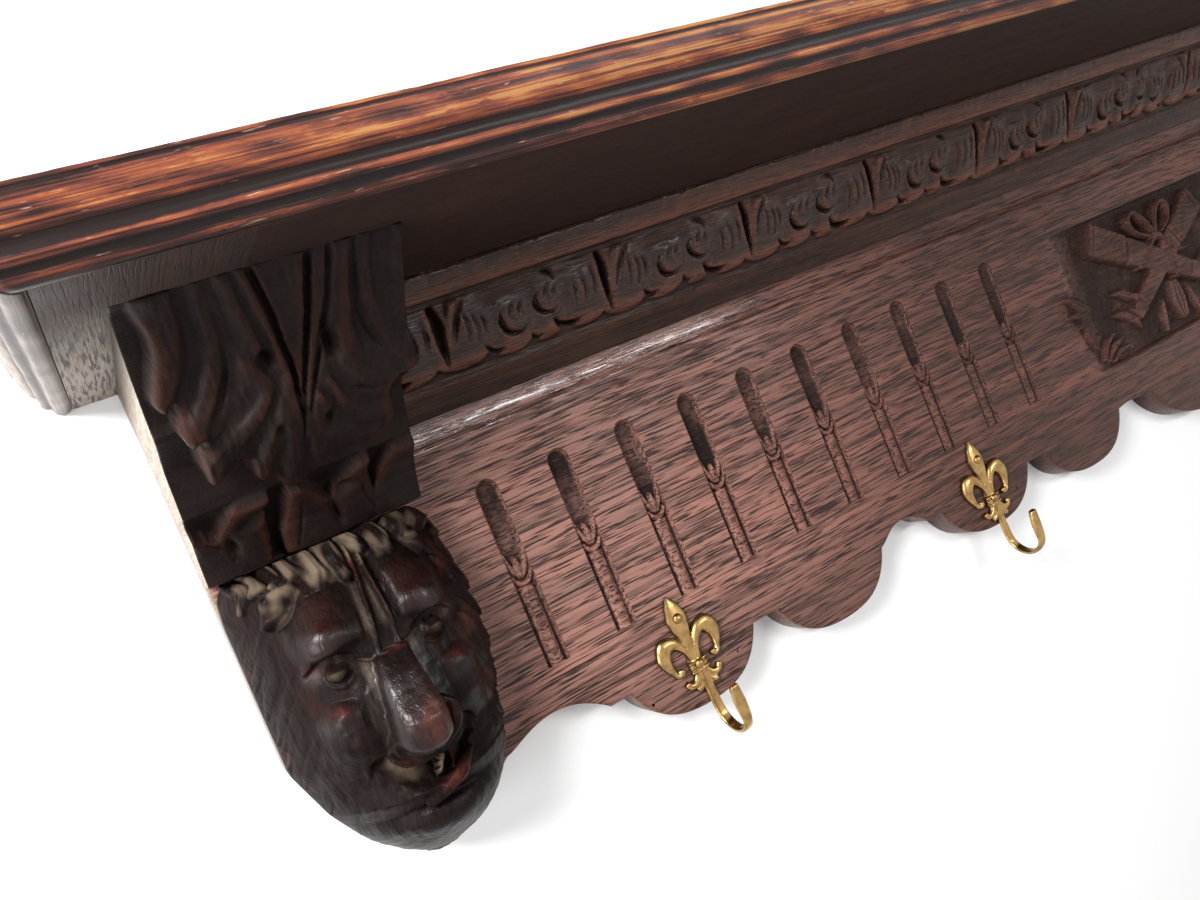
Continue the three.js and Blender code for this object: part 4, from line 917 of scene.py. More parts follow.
def corbel_relief(a, z):
    """Height over the corbel's body of its drooping acanthus leaf, in two halves with a split stem."""
    edge = bend([(-47, 92), (-41.5, 90), (-39.9, 85.4), (-38.0, 80.8), (-38.3, 75.7), (-40.5, 70.1),
                 (-42.0, 64.0), (-39.2, 60.6), (-36.4, 62.0), (-37.8, 55.0), (-37.0, 49.8), (-34.6, 47.2),
                 (-32.4, 48.6), (-34.0, 44.1), (-33.8, 38.2), (-31.3, 35.8), (-23.7, 37.6), (-18.8, 38.4),
                 (-18.1, 34.6), (-15.4, 31.8), (-11.7, 31.8), (-9.4, 29.0), (-5.4, 26.7), (-0.8, 26.4),
                 (2.9, 27.6), (7.9, 29.6), (13.9, 31.6), (23.4, 32.6), (31.8, 31.8), (35.2, 34.0),
                 (36.8, 38.2), (35.6, 43.2), (37.8, 46.8), (42.0, 47.8), (46.5, 50.0)], 5)
    loop = np.vstack([edge, [(52, 48), (52, 96), (-52, 96)]])
    gap, _ = near(a, z, edge)
    signed = np.where(within(a, z, loop), gap, -gap)
    body = -np.interp(z, [q for q, _ in BODY_DEEP][::-1], [q for _, q in BODY_DEEP][::-1])
    h = drape(a, z, (
        ([(-46, 90), (-43, 76), (-44, 62)], [-1.5, -1.5]),
        ([(-31.1, 92), (-31.3, 81.2), (-33.8, 74.4), (-38.0, 66.1), (-39.4, 61.6)], [2.4, 3.6, 3.4, 2.0]),
        ([(-24.5, 92), (-23.9, 80.7), (-24.7, 73.4), (-29.8, 65.1), (-35.5, 60.9)], [-1.2, -3.2, -3.0, -1.5]),
        ([(-21.2, 92), (-19.8, 79.6), (-20.0, 72.1), (-24.7, 61.8), (-33.1, 51.0)],
         [0.5, 0.2, 0.4, 2.0, 2.2]),
        ([(-17.8, 92), (-15.2, 79.9), (-14.8, 73.0), (-18.6, 63.4), (-25.9, 54.4)], [-0.6, -2.2, -2.6, -1.8]),
        ([(-13.4, 92), (-9.0, 79.1), (-6.5, 71.5)], [1.6, 2.8, 2.6]),
        ([(-10.7, 65.7), (-7.4, 59.6), (-11.0, 52.9), (-19.3, 47.8), (-29.1, 44.2), (-33, 37.5)],
         [2.6, 2.6, 1.8, 1.6, 1.8, 1.0]),
        ([(-10.4, 92), (-5.8, 77.5), (-4.0, 70.1), (-2.6, 59.8)], [-0.6, -0.8, -1.2, -1.0]),
        ([(-3.8, 56.4), (-12.5, 46.6), (-19.0, 40.4)], [-1.2, -2.6, -1.4]),
        ([(-12.2, 57.3), (-22.3, 51.3), (-32.4, 46.4)], [-1.6, -3.0, -1.4]),
        ([(-8.2, 92), (-2.9, 77.6), (0.0, 68.9), (-0.4, 55.2), (-0.6, 44.8)], [1.6, 2.6, 2.4, 1.6, 1.2]),
        ([(3.0, 92), (5.5, 76), (5.2, 66), (3.0, 56)], [-0.4, -0.6, -0.4, -0.6]),
        ([(11.4, 92), (9.3, 79.8), (6.3, 68.8), (3.8, 58)], [1.0, 1.0, 0.6, 0.0]),
        ([(17.0, 92), (15.4, 79.5), (12.4, 69.0), (7.0, 57.0)], [-0.4, -0.4, -0.2, -0.4]),
        ([(23.1, 92), (21.2, 79.9), (18.8, 70.6)], [0.8, 1.4, 1.0]),
        ([(26.2, 92), (23.6, 76.3), (22.4, 66.0), (21.8, 56.0)], [2.0, 3.2, 3.4, 2.0]),
        ([(29.4, 92), (27.9, 76.9), (29.0, 67.7), (34.1, 58.7), (38.4, 52.1)], [-0.6, -1.8, -2.0, -1.0]),
        ([(32.0, 92), (31.4, 78.3), (33.1, 69.9), (38.1, 60.5), (42.2, 52.6)], [0.6, 1.0, 1.4, 1.8]),
        ([(37.5, 92), (37.0, 80.9), (38.4, 72.7), (44.1, 63.6)], [-2.0, -3.2, -2.2, -0.6]),
        ([(45.0, 92), (46.8, 74.7), (47.4, 61.6)], [2.4, 3.2, 2.6]),
        ([(12.8, 53.6), (17.0, 46.3), (24.8, 41.5), (34.3, 38.9)], [1.2, 1.4, 1.6, 1.2]),
        ([(16.2, 55.5), (19.3, 48.9), (27.1, 44.3), (35.1, 44.0)], [-2.8, -3.2, -2.4]),
        ([(10.6, 53.3), (14.6, 45.4)], [-2.4, -2.0]),
        ([(8.6, 50.3), (12.4, 38.6), (20.2, 36.5), (33.1, 34.8)], [1.6, 2.2, 1.8, 0.6]),
        ([(-4.0, 54.4), (-4.6, 49.1), (-10.4, 41.1), (-14.8, 34.2)], [1.2, 2.2, 2.0, 1.0]),
        ([(-1.0, 46.5), (-2.8, 34.6), (-5.0, 28.0)], [0.8, 1.8, 1.0]),
        ([(-8.4, 38), (-10.4, 32.5)], [-1.2, -0.8]), ([(1.8, 40), (1.6, 30)], [-1.0, -0.8]),
        ([(5.9, 42.7), (7.2, 35.1), (12.7, 32.0)], [1.6, 1.6, 0.8])))
    for path, wide, deep in (
            ([(-5.8, 92), (-1.2, 80.2), (0.5, 72.7), (2.3, 62.1), (1.6, 52.5), (1.9, 40.5)],
             [1.5, 1.7, 1.5, 1.3, 1.0, 0.5], 4.6),
            ([(14.3, 92), (12.1, 79.0), (9.2, 67.9), (4.6, 55.6), (2.4, 47.5)],
             [1.9, 1.8, 1.5, 1.1, 0.5], 4.6),
            ([(20.9, 92), (19.3, 80.4), (15.6, 70.3), (9.8, 58.7), (4.2, 47.8)],
             [1.3, 1.4, 1.5, 1.2, 0.5], 3.4),
            ([(29.4, 91), (27.9, 76.9), (29.0, 67.7), (34.1, 58.7)], [0.5, 0.8, 0.8, 0.4], 1.4),
            ([(-17.0, 76), (-17.4, 68), (-20.5, 61), (-24, 56)], [0.4, 0.8, 0.8, 0.3], 1.6),
            ([(-20.6, 64), (-23.6, 58.6), (-28, 53.4)], [0.3, 0.7, 0.3], 1.2),
            ([(-24, 50.6), (-28.5, 47.8)], [0.5, 0.4], 1.2), ([(-17.5, 46.8), (-23, 42)], [0.5, 0.4], 1.2),
            ([(21.5, 49.5), (28, 46.6), (34, 46.8)], [0.4, 0.8, 0.4], 1.4)):
        gouge(h, a, z, bend(path), wide, deep, 0.9)
    for at, size, deep in (((-5.2, 66.6), (2.3, 2.5), 5.0), ((-6.4, 45.0), (1.8, 1.8), 3.4),
                           ((16.8, 65.6), (2.1, 3.8), 6.5), ((11.2, 43.4), (2.0, 2.2), 4.6)):
        swell(h, a, z, at, size, -deep)
    # the leaf ends in a rounded lip, and the plain body shows beside and below it
    lip = ease(signed / 0.8)
    h = h - 1.6 * (1 - ease(signed / 2.6)) + 0.22 * wander(a, z, 6, 31) + 0.16 * wander(a * 3, z * 0.7, 7, 33)
    h = body * (1 - lip) + h * lip
    # overlapping pointed leaves at the foot, with deep pits between them
    foot = (1 - lip) * ease((27.5 - z) / 2)
    scales = np.full(a.shape, -9.0)
    for path, wide, high in (([(-14, 29), (-24, 20), (-31, 5)], [1, 9, 13], 1.4),
                             ([(44, 29), (38, 19), (34, 5)], [1, 9, 12], 1.4),
                             ([(25, 27), (19, 17), (12, 5)], [1, 9, 12], 2.0),
                             ([(-44, 22), (-40, 14), (-36, 5)], [1, 8, 10], 2.2),
                             ([(-6, 27.0), (-3, 18), (0, 5)], [1.5, 10.5, 13], 2.8)):
        finger(scales, a, z, bend(path), wide, high, -0.5, 0.4)
    for at, size in (((-19.5, 22.0), (6.5, 1.8)), ((14.0, 20.5), (4.0, 1.8)), ((26.0, 21.5), (2.2, 3.6)),
                     ((-31.0, 15.0), (1.4, 3.0)), ((9.6, 12.0), (1.4, 4.0))):
        swell(scales, a, z, at, size, -3.2, 12)
    for path, wide in (([(-3, 23), (-5, 15), (-8, 7)], [0.4, 0.8, 0.5]),
                       ([(21, 22), (22, 15), (25, 8)], [0.4, 0.8, 0.5]),
                       ([(-40, 20), (-34, 15.5), (-32, 10)], [0.3, 0.6, 0.3])):
        gouge(scales, a, z, bend(path), wide, 1.0)
    return np.where(foot > 0.02, h * (1 - foot) + np.maximum(scales, -5.5) * foot, h)


def corbel(name, side):
    """A corbel from the profile of its leaf; side is -1 on the left and 1 on the right."""
    along = np.linspace(0, 1, 200)
    lengths = np.concatenate([[0], np.cumsum(np.hypot(*np.diff(LEAF_PROFILE, axis=0).T))])
    base_d = np.interp(along * lengths[-1], lengths, LEAF_PROFILE[:, 0])
    base_z = np.interp(along * lengths[-1], lengths, LEAF_PROFILE[:, 1])
    td, tz = np.gradient(base_d), np.gradient(base_z)
    size = np.hypot(td, tz)
    nd = soften(np.repeat((-tz / size)[:, None], 3, 1), 4)[:, 1]
    nz = soften(np.repeat((td / size)[:, None], 3, 1), 4)[:, 1]
    a, z = np.meshgrid(np.linspace(-CORBEL_HALF, CORBEL_HALF, 132), base_z)
    h = np.maximum(corbel_relief(a, z), -1.1 * (SOFFIT - z))
    d = base_d[:, None] + nd[:, None] * h
    zz = base_z[:, None] + nz[:, None] * h
    zz = np.where(along[:, None] < 1e-6, SOFFIT, np.minimum(zz, SOFFIT))
    d = np.clip(d, BOARD_FACE + 1, CORBEL_OUT)
    x = side * CORBEL_X + (a if side < 0 else -a)
    wear, dust = handling(h, 4, 1.1)
    piece = carving(name + "_carved", np.stack([x, d, zz], -1), BOARD_FACE, corbel_oak, [name], "dark_oak",
                    wear=wear, dust=dust * 0.7)
    # the outer cheek is bare wood; it was never stained
    piece.data.materials.append(bare_oak)
    outer = side * CORBEL_X + side * CORBEL_HALF
    for face in piece.data.polygons:
        if abs(face.normal.x) > 0.9 and abs(face.center.x / MM - outer) < 0.5:
            face.material_index = 1


# Lion masks


FACE_MIDDLE = 1.6                       # the face is carved a little off the middle of its block
MASK_TOP, MASK_FOOT = 2.6, -132.6


def lion_relief(a, z):
    """Relief over the mask's rounded body; a from its middle towards the rack's, z up."""
    u = a - FACE_MIDDLE
    m = np.abs(u)
    h = np.zeros(a.shape)
    # broad brows that slope down to the forehead, temples
    swells(h, m, z, ((18.5, -25.0), (12.0, 11.0), 5.6, -14), ((19.5, -31.5), (9.0, 4.8), 4.6, -8),
           ((28.0, -40.5), (3.4, 4.4), 3.6, -10), ((13.5, -14), (9, 9), 2.6), ((37, -40), (6, 22), -4.0))
    # brow edge over the sunk eye
    brow_m, brow_z = [0, 3, 7, 12, 18, 24, 30, 40], [-43.4, -43, -41.6, -38.6, -35.4, -36.2, -40, -44]
    brow = bend([(31, -42.5), (26.5, -37.2), (18.5, -34.8), (12, -38.4), (7, -41.6), (3, -43.2)])
    d, _ = near(m, z, brow)
    under = ease((np.interp(m, brow_m, brow_z) - z) / 1.4 + 0.5)
    reach = ease((32 - m) / 5) * ease((m - 2.5) / 3)
    swell(h, m, z, (19.5, -43.0), (9.0, 7.6), -6.4)
    h -= reach * under * 3.8 * np.exp(-(d / 2.4) ** 2)
    h += reach * (1 - under) * 1.7 * np.exp(-(d / 2.4) ** 2)
    # small round eyeball with a drilled pupil at its top, in rings of lid
    ball = 0.4 + 4.6 * np.sqrt(np.clip(1 - ((m - 19.0) / 4.3) ** 2 - ((z + 42.4) / 4.3) ** 2, 0, 1))
    h[:] = np.where(ball > 0.41, np.maximum(h, ball), h)
    finger(h, m, z, bend([(13.6, -42.0), (14.8, -46.0), (19.0, -48.2), (23.2, -46.6), (25.0, -42.6)]),
           [0.3, 1.0, 1.3, 1.0, 0.3], 1.4, -0.6, 0.9)
    gouge(h, m, z, bend([(12.2, -44.5), (14.2, -48.6), (19.2, -50.6), (24.6, -48.6), (27.4, -44.6)]),
          [0.3, 0.8, 1.0, 0.8, 0.3], 1.1)
    gouge(h, m, z, bend([(14.8, -51.6), (19.4, -53.6), (24.8, -51.6)]), [0.3, 0.8, 0.3], 0.6)
    swell(h, m, z, (18.2, -38.2), (1.5, 1.5), -9.0)
    # cheekbones and muzzle sides
    swells(h, m, z, ((24.0, -58.0), (7.0, 5.0), 3.4, -10), ((23.0, -68), (9, 10), 3.4),
           ((12.0, -58), (4.0, 12), -3.6, 14))
    # two thin forehead ridges that lean over towards the top
    c = 1.2 + 0.085 * (z + 42)
    spread = 1.7 + 2.2 * ease((-8 - z) / 34)
    w = a - 1.4 - c
    on = ease((-3 - z) / 6) * ease((z + 44.6) / 2)
    h += on * 2.5 * np.exp(-((np.abs(w) - spread) / 0.75) ** 2)
    h -= on * 2.0 * np.exp(-(w / (0.6 * spread)) ** 2)
    h -= on * 2.6 * np.exp(-((np.abs(w) - spread - 2.5) / 1.3) ** 2)
    # bridge that widens to a rounded nose, under a sharp crease
    n = np.abs(a - np.interp(-z, [43, 55, 66], [2.2, 1.0, 0.6]))
    half = np.interp(-z, [40, 44, 56, 66, 71, 76, 81], [6.6, 7.2, 8.2, 9.4, 10.0, 9.8, 8.0])
    rise = np.interp(-z, [40, 44, 50, 58, 65, 69, 72, 75, 78, 81, 85],
                     [0, 3.4, 7.6, 12.8, 17.4, 18.9, 18.4, 16.0, 11.6, 7.4, 4.0])
    power = np.interp(-z, [44, 60, 68, 74, 82], [7.0, 6.0, 3.6, 2.6, 2.0])
    dome = np.clip(1 - (n / half) ** power, 0, 1) ** 0.62
    on = ease((-z - 42) / 1.4) * (1 - ease((-z - 81) / 4))
    h[:] = np.maximum(h * (1 - on * ease(dome * 2)), on * rise * dome)
    gouge(h, a, z, bend([(-12, -39.6), (-6.5, -42.6), (-1, -43.6), (4, -43.2), (9.5, -42.4), (14.5, -39.6)]),
          [0.5, 1.0, 1.1, 1.1, 1.0, 0.5], 2.2)
    # curled nostril wings with a comma-shaped hole
    inner = a > 0.6
    wing, hole = h.copy(), h.copy()
    finger(wing, n, z, bend([(8.6, -66.0), (11.6, -69.4), (12.2, -74.6), (9.4, -78.4), (5.4, -78.4)]),
           [0.8, 2.4, 3.0, 2.4, 1.2], 4.6, 3.6, 0.6)
    gouge(wing, n, z, bend([(8.2, -68.4), (8.9, -72.0), (7.6, -75.6), (4.6, -76.6)]),
          [0.4, 1.2, 1.4, 0.6], 4.2)
    finger(hole, n, z, bend([(8.8, -70.0), (10.2, -73.0), (9.2, -76.6), (6.4, -78.2)]),
           [0.6, 1.5, 1.9, 1.2], 3.4, 4.0, 0.6)
    gouge(hole, n, z, bend([(8.0, -72.6), (7.6, -75.4), (4.8, -76.6)]), [0.4, 1.2, 0.6], 2.6)
    h[:] = np.where(inner, wing, hole)
    gouge(h, a, z, [(0.9, -75.0), (0.9, -86.0)], [0.6, 1.0], 1.8)
    # two hanging halves of the upper lip
    finger(h, m, z, bend([(1.5, -82.0), (5.5, -83.2), (9.5, -82.0), (13.5, -79.0)]),
           [2.4, 3.2, 3.0, 1.4], 4.0, np.interp(m, [0, 14], [4.2, 1.4]), 0.7)
    # open mouth, shallow and dusty at its folded corners
    top = np.interp(m, [0, 6, 11, 16, 20.5], [-87.0, -86.6, -84.6, -80.8, -82.5])
    low = np.interp(u, [-20.5, -16, -10, -4, 0, 6, 12, 18],
                    [-83.0, -90.6, -96.6, -98.4, -97.8, -95.8, -92.4, -88.0])
    floor = ease((z - low) / np.interp(u, [-7, 1], [7.0, 2.6]) + 0.15)
    inside = ease((top - z) / 1.6 + 0.15) * floor * (1 - ease((m - 18.5) / 3))
    h[:] = h * (1 - inside) + inside * np.interp(u, [-20, -14, -8, -2, 1, 8, 15, 20],
                                                 [-2.6, -2.8, -3.6, -4.6, -6.5, -6.0, -3.5, -2.0])
    swell(h, m, z, (18.4, -81.2), (2.4, 2.2), -4.5, 20)
    finger(h, m, z, bend([(14.5, -77.6), (18.4, -76.8), (22.4, -79.6), (23.0, -84.5)]),
           [0.5, 1.4, 1.8, 0.6], 0.5, 0.6, 0.9)
    finger(h, a, z, [(4.6, -87.0), (3.6, -90.5), (1.8, -94.2)], [1.8, 1.5, 0.4], 8.5, -3.0, 0.8)
    finger(h, a, z, bend([(8.4, -87), (9.4, -90.4), (8.0, -94)]), [1.4, 2.3, 1.4], 4.6, -5.5, 0.7)
    # thin lower lip over a large smooth chin
    finger(h, a, z, bend([(-6.5, -101.6), (-1.5, -101.0), (4.0, -99.2), (10.5, -96.6), (16.0, -92.0)]),
           [0.6, 1.6, 2.0, 2.0, 1.0], 1.7, np.interp(m, [0, 14], [1.4, 1.0]), 0.8)
    swells(h, m, z, ((0, -104.6), (12, 1.6), -1.6), ((0, -112), (17, 8), 3.0))
    # mane down both sides: overlapping pointed locks that run down and outwards, and finer cuts on them
    for side, widths, strength in ((1, [42, 47.5, 51, 51, 46.8, 42.3, 37, 30.5, 21], 1.0),
                                   (-1, [44, 45.4, 45.4, 45.4, 45.4, 37.5, 30, 22.5, 14], 0.2)):
        for k in range(26):
            start, length = 12.5 + 2.5 * sin(2.4 * k), 24 + 5 * sin(1.7 * k)
            line = []
            for run, inset_by in ((0, start), (0.35, 0.66 * start), (0.7, 0.32 * start), (1, 0.6)):
                down = -9 - 3.2 * k - run * length
                rim_at = np.interp(-down, [2, 12, 31, 55, 77, 99, 112, 121, 128], widths)
                line.append((side * (rim_at - inset_by), down))
            line = bend(line, 5)
            calm = strength * min(1.0, (28 - k) / 14)
            if k % 2:
                finger(h, a, z, line, [0.4, 1.8, 2.2, 1.2, 0.3], 1.3 * calm, 0.2, 0.8)
            gouge(h, a, z, line + [side * 1.6, 0.6], [0.3, 0.6, 0.7, 0.5, 0.3],
                  (0.7 + 0.5 * (k % 3 == 0)) * calm)
    # ears
    ear = bend([(-20.0, -8.6), (-26.5, -12.0), (-31.4, -18.6)])
    finger(h, a, z, ear, [3.2, 5.6, 1.4], 4.6, 0.8, 0.6)
    gouge(h, a, z, bend([(-19.0, -12.5), (-23.5, -18.0), (-29.0, -20.6)]), [0.5, 1.1, 0.5], 1.6)
    swell(h, a, z, (-27.0, -12.6), (2.2, 3.0), -3.2, -30)
    finger(h, a, z, bend([(24.5, -1.5), (33.5, -1.5), (39.5, -6.0)]), [2.6, 4.6, 2.2], 5.0, 0.5, 0.6)
    finger(h, a, z, bend([(25.5, -3.5), (28.5, -8), (29.4, -15.5)]), [2.8, 4.2, 0.8], 4.6, 1.6, 0.7)
    swell(h, a, z, (27.4, -7.0), (2.2, 2.8), -4.5)
    # uneven fringe of curled locks along the top, each cut a little differently
    a, z = a + 0.9 * wander(a, z, 11, 47), z + 1.3 * wander(a, z, 13, 48)
    for path, wide, high in (
            (((-40, 2), (-36.0, -3.4), (-37.0, -9.5)), [2.0, 3.6, 1.4], 2.4),
            (((-32.5, 3), (-29.6, -2.6), (-33.0, -7.0)), [2.4, 3.4, 1.5], 3.0),
            (((-24.8, 3), (-23.4, -1.4), (-26.0, -5.0)), [1.8, 2.5, 1.2], 2.6),
            (((-19, 3), (-16.4, -2.8), (-18.6, -7.4)), [2.2, 3.6, 1.5], 3.6),
            (((-12, 3), (-9.0, -3.0), (-8.0, -8.2), (-10.4, -13.4), (-14.8, -13.4)),
             [2.4, 2.9, 2.7, 2.1, 0.9], 4.4),
            (((-1.8, 3), (-1.4, -4.6), (-0.2, -11.6)), [3.0, 4.0, 2.9], 4.6),
            (((6.4, 3), (7.6, -1.4), (9.2, -5.0)), [2.2, 3.4, 2.2], 4.0),
            (((16.0, 3), (17.2, -3.6), (17.6, -11.4)), [3.4, 4.6, 1.3], 4.4),
            (((42, -3), (44, -8), (45.6, -15)), [1.6, 2.4, 0.8], 2.4)):
        line = bend(path)
        finger(h, a, z, line, wide, high, 0.2, 0.6)
        gouge(h, a, z, line + [0.8, 0], [0.3, 0.6, 0.3], 1.0)
        gouge(h, a, z, line - [1.3, 0], [0.3, 0.5, 0.3], 0.7)
    # small hairs between the locks
    for x0 in (-5.6, 3.4, 12.0, 13.2):
        hair = bend([(x0, 2), (x0 + 0.8, -2), (x0 + 1.2, -6 - (x0 % 3))])
        finger(h, a, z, hair, [0.8, 1.1, 0.4], 2.6, 0.2, 0.8)
    # tool marks
    h += 0.14 * wander(a * 2.5, z * 0.6, 6, 49) + 0.08 * wander(a, z, 4.5, 41) + 0.22 * wander(a, z, 15, 42)
    return h


def lion_body(rows, columns):
    """The mask's rounded body: place across, height, points and the directions out of the wood."""
    z = np.linspace(MASK_TOP, MASK_FOOT, rows)
    marks_z = [MASK_TOP, -2, -12, -31, -55, -77, -99, -112, -121, -128, MASK_FOOT]
    inner = [36, 42, 47.5, 51, 51, 46.8, 42.3, 37, 30.5, 21, 8]
    outer = [40, 44, 45.4, 45.4, 45.4, 45.4, 37.5, 30, 22.5, 14, 7]

    def steady(values):
        """Values at the marks, smoothed over all the rows."""
        line = np.interp(z[::-1], marks_z[::-1], values[::-1])[::-1]
        return np.convolve(np.pad(line, 4, mode="edge"), np.ones(9) / 9, mode="valid")

    inner_w, outer_w = steady(inner), steady(outer)
    # locks of the mane end past the outline on the inner side
    inner_w = inner_w + 1.2 * (np.abs(np.sin(z / 4.4)) - 0.6) * ease((-18 - z) / 8) * ease((z + 120) / 14)
    crown = steady([37, 47, 53, 62, 64, 63, 60, 55, 47, 36, 24])
    crown = crown + np.interp(z[::-1], [-132, -110, -104, -98, -90, -84, -70, -42, -32, -20],
                              [0, 0, -2, 2, -2, -3, 2, -1, 1, 0])[::-1]
    t = np.linspace(-1, 1, 401)
    a, base = np.empty((rows, columns)), np.empty((rows, columns))
    for j in range(rows):
        aa = np.where(t < 0, t * outer_w[j], t * inner_w[j])
        dd = MASK_RIM + (crown[j] - MASK_RIM) * (1 - np.abs(t) ** 2.4) ** 0.8
        run = np.concatenate([[0], np.cumsum(np.hypot(np.diff(aa), np.diff(dd)))])
        g = np.linspace(0, run[-1], columns)
        a[j], base[j] = np.interp(g, run, aa), np.interp(g, run, dd)
    zz = np.repeat(z[:, None], columns, 1)
    p = np.stack([a, base, zz], -1)
    normal = np.cross(np.gradient(p, axis=1), np.gradient(p, axis=0))
    normal /= np.linalg.norm(normal, axis=-1, keepdims=True) + 1e-9
    normal *= np.sign(normal[..., 1:2] + 1e-9)
    return a, zz, p, normal


def lion_mask(name, side, rows=250, columns=190):
    """A mask with its carving, its worn crowns and its dust; side is -1 on the left and 1 on the right."""
    a, zz, p, normal = lion_body(rows, columns)
    h = lion_relief(a, zz)
    k = np.arange(columns) / (columns - 1)
    hold = np.minimum(ease(k / 0.02), ease((1 - k) / 0.02))[None, :]
    p = p + normal * (h * hold)[..., None]
    p[..., 1] = np.maximum(p[..., 1], MASK_RIM - 0.5)
    p[..., 2] = np.clip(p[..., 2], MASK_FOOT - 1.9, MASK_TOP + 0.9)
    p[..., 0] = side * MASK_X + (p[..., 0] if side < 0 else -p[..., 0])
    wear, dust = handling(h, 5, 1.4)
    # hands have rubbed the brows, nose, cheeks and lips; dust has stayed in the fringe and the folds
    rub = np.zeros(a.shape)
    m = np.abs(a - FACE_MIDDLE)
    swells(rub, m, zz, ((17, -23), (13, 12), 0.5), ((26, -39), (4, 4), 0.7), ((0.9, -60), (6, 9), 0.3),
           ((22.5, -56), (5, 3), 0.8), ((31, -50), (6, 12), 0.5))
    swells(rub, a, zz, ((4, -69), (6, 5), 1.15), ((11, -73), (3, 4), 0.9), ((8, -97.6), (9, 2.2), 1.0),
           ((-6, -80), (5, 2), 0.85), ((9, -90), (4, 3), 0.9), ((4, -8), (2.5, 6), 1.0),
           ((10, -112), (12, 7), 0.35), ((5, -43), (8, 1.6), 0.9))
    wear = np.clip(0.25 * wear + rub * (1 + 0.16 * wander(a * 2, zz * 0.7, 7, 43)), 0, 1.1)
    wear += 0.85 * ease((a - 30) / 8) * np.clip(0.3 + wander(a * 3, zz, 22, 45), 0, 1)
    wear += 0.5 * ease((-34 - a) / 6) * np.clip(wander(a * 2, zz, 26, 46), 0, 1)
    polish = np.zeros(a.shape)
    swells(polish, m, zz, ((0.9, -57), (8.5, 13), 1.5), ((18.5, -31), (5, 3.6), 0.7),
           ((28, -41), (3, 3), 0.6), ((24, -61), (8, 4), 0.3), ((9, -26), (3, 12), 0.25),
           ((0, -116), (18, 8), 0.22))
    swell(polish, a, zz, (33, -58), (8, 22), 0.3)
    low = np.zeros(a.shape)
    swells(low, m, zz, ((19.0, -43), (3.4, 3), 0.55), ((18.2, -38.2), (1.8, 1.8), -0.8),
           ((9.5, -46), (3, 6), 0.4), ((18, -82), (4, 3), 0.3), ((3, -25), (2.5, 14), 0.4))
    swells(low, a, zz, ((-9, -87), (8, 6), 0.6), ((-26.5, -14), (5, 6), 0.42), ((-11, -8), (4, 5), 0.5))
    patchy = np.clip(0.65 + 0.9 * wander(a, zz, 8, 44), 0, 1)
    dust = np.clip(dust * 0.30 + low + 0.8 * patchy * ease((zz + 15) / 8) * ease((h - 0.6) / 2.0), 0, 1)
    fang = (np.hypot(a - 3.2, zz + 90.5) < 4.0) & (h > 2.0) & (zz < -86.5)
    wear, dust = np.where(fang, 0, wear), np.where(fang, 1.0, dust)
    carving(name + "_carved", p, BOARD_FACE, carved_oak, [name], "carved_oak", wear=wear, dust=dust,
            polish=np.clip(polish, 0, 1))


# Cornice


def cornice_section():
    """Section from the shelf's edge outwards (e) and up from its underside (u), with its share of wear."""
    pts = [(0.2, 0.3, 0.0)]
    for f in np.linspace(1.12, 2.0, 8) * pi:
        pts.append((3.4 + 3.1 * cos(f), 1.1 + 2.2 * sin(f), 0.66))
    pts += [(6.9, 2.3, 0.0), (7.6, 3.0, 0.0), (8.6, 3.1, 0.4), (9.5, 3.4, 0.66), (10.1, 4.2, 0.66),
            (10.0, 5.2, 0.4), (9.8, 6.0, 0.0), (9.9, 7.4, 0.0), (10.6, 8.4, 0.05), (11.3, 8.8, 0.5),
            (12.0, 9.4, 0.72), (12.8, 10.8, 0.8), (13.5, 12.6, 0.85), (14.1, 14.6, 0.85), (14.6, 16.4, 0.8),
            (14.9, 17.6, 0.7), (14.8, 18.3, 0.05), (15.1, 18.7, 0.3), (15.45, 19.0, 0.85), (15.5, 19.5, 0.8),
            (15.2, 19.9, 0.7), (14.4, 20.0, 0.5), (7.0, 20.0, 0.3), (0.0, 20.0, 0.2)]
    return np.array(pts)


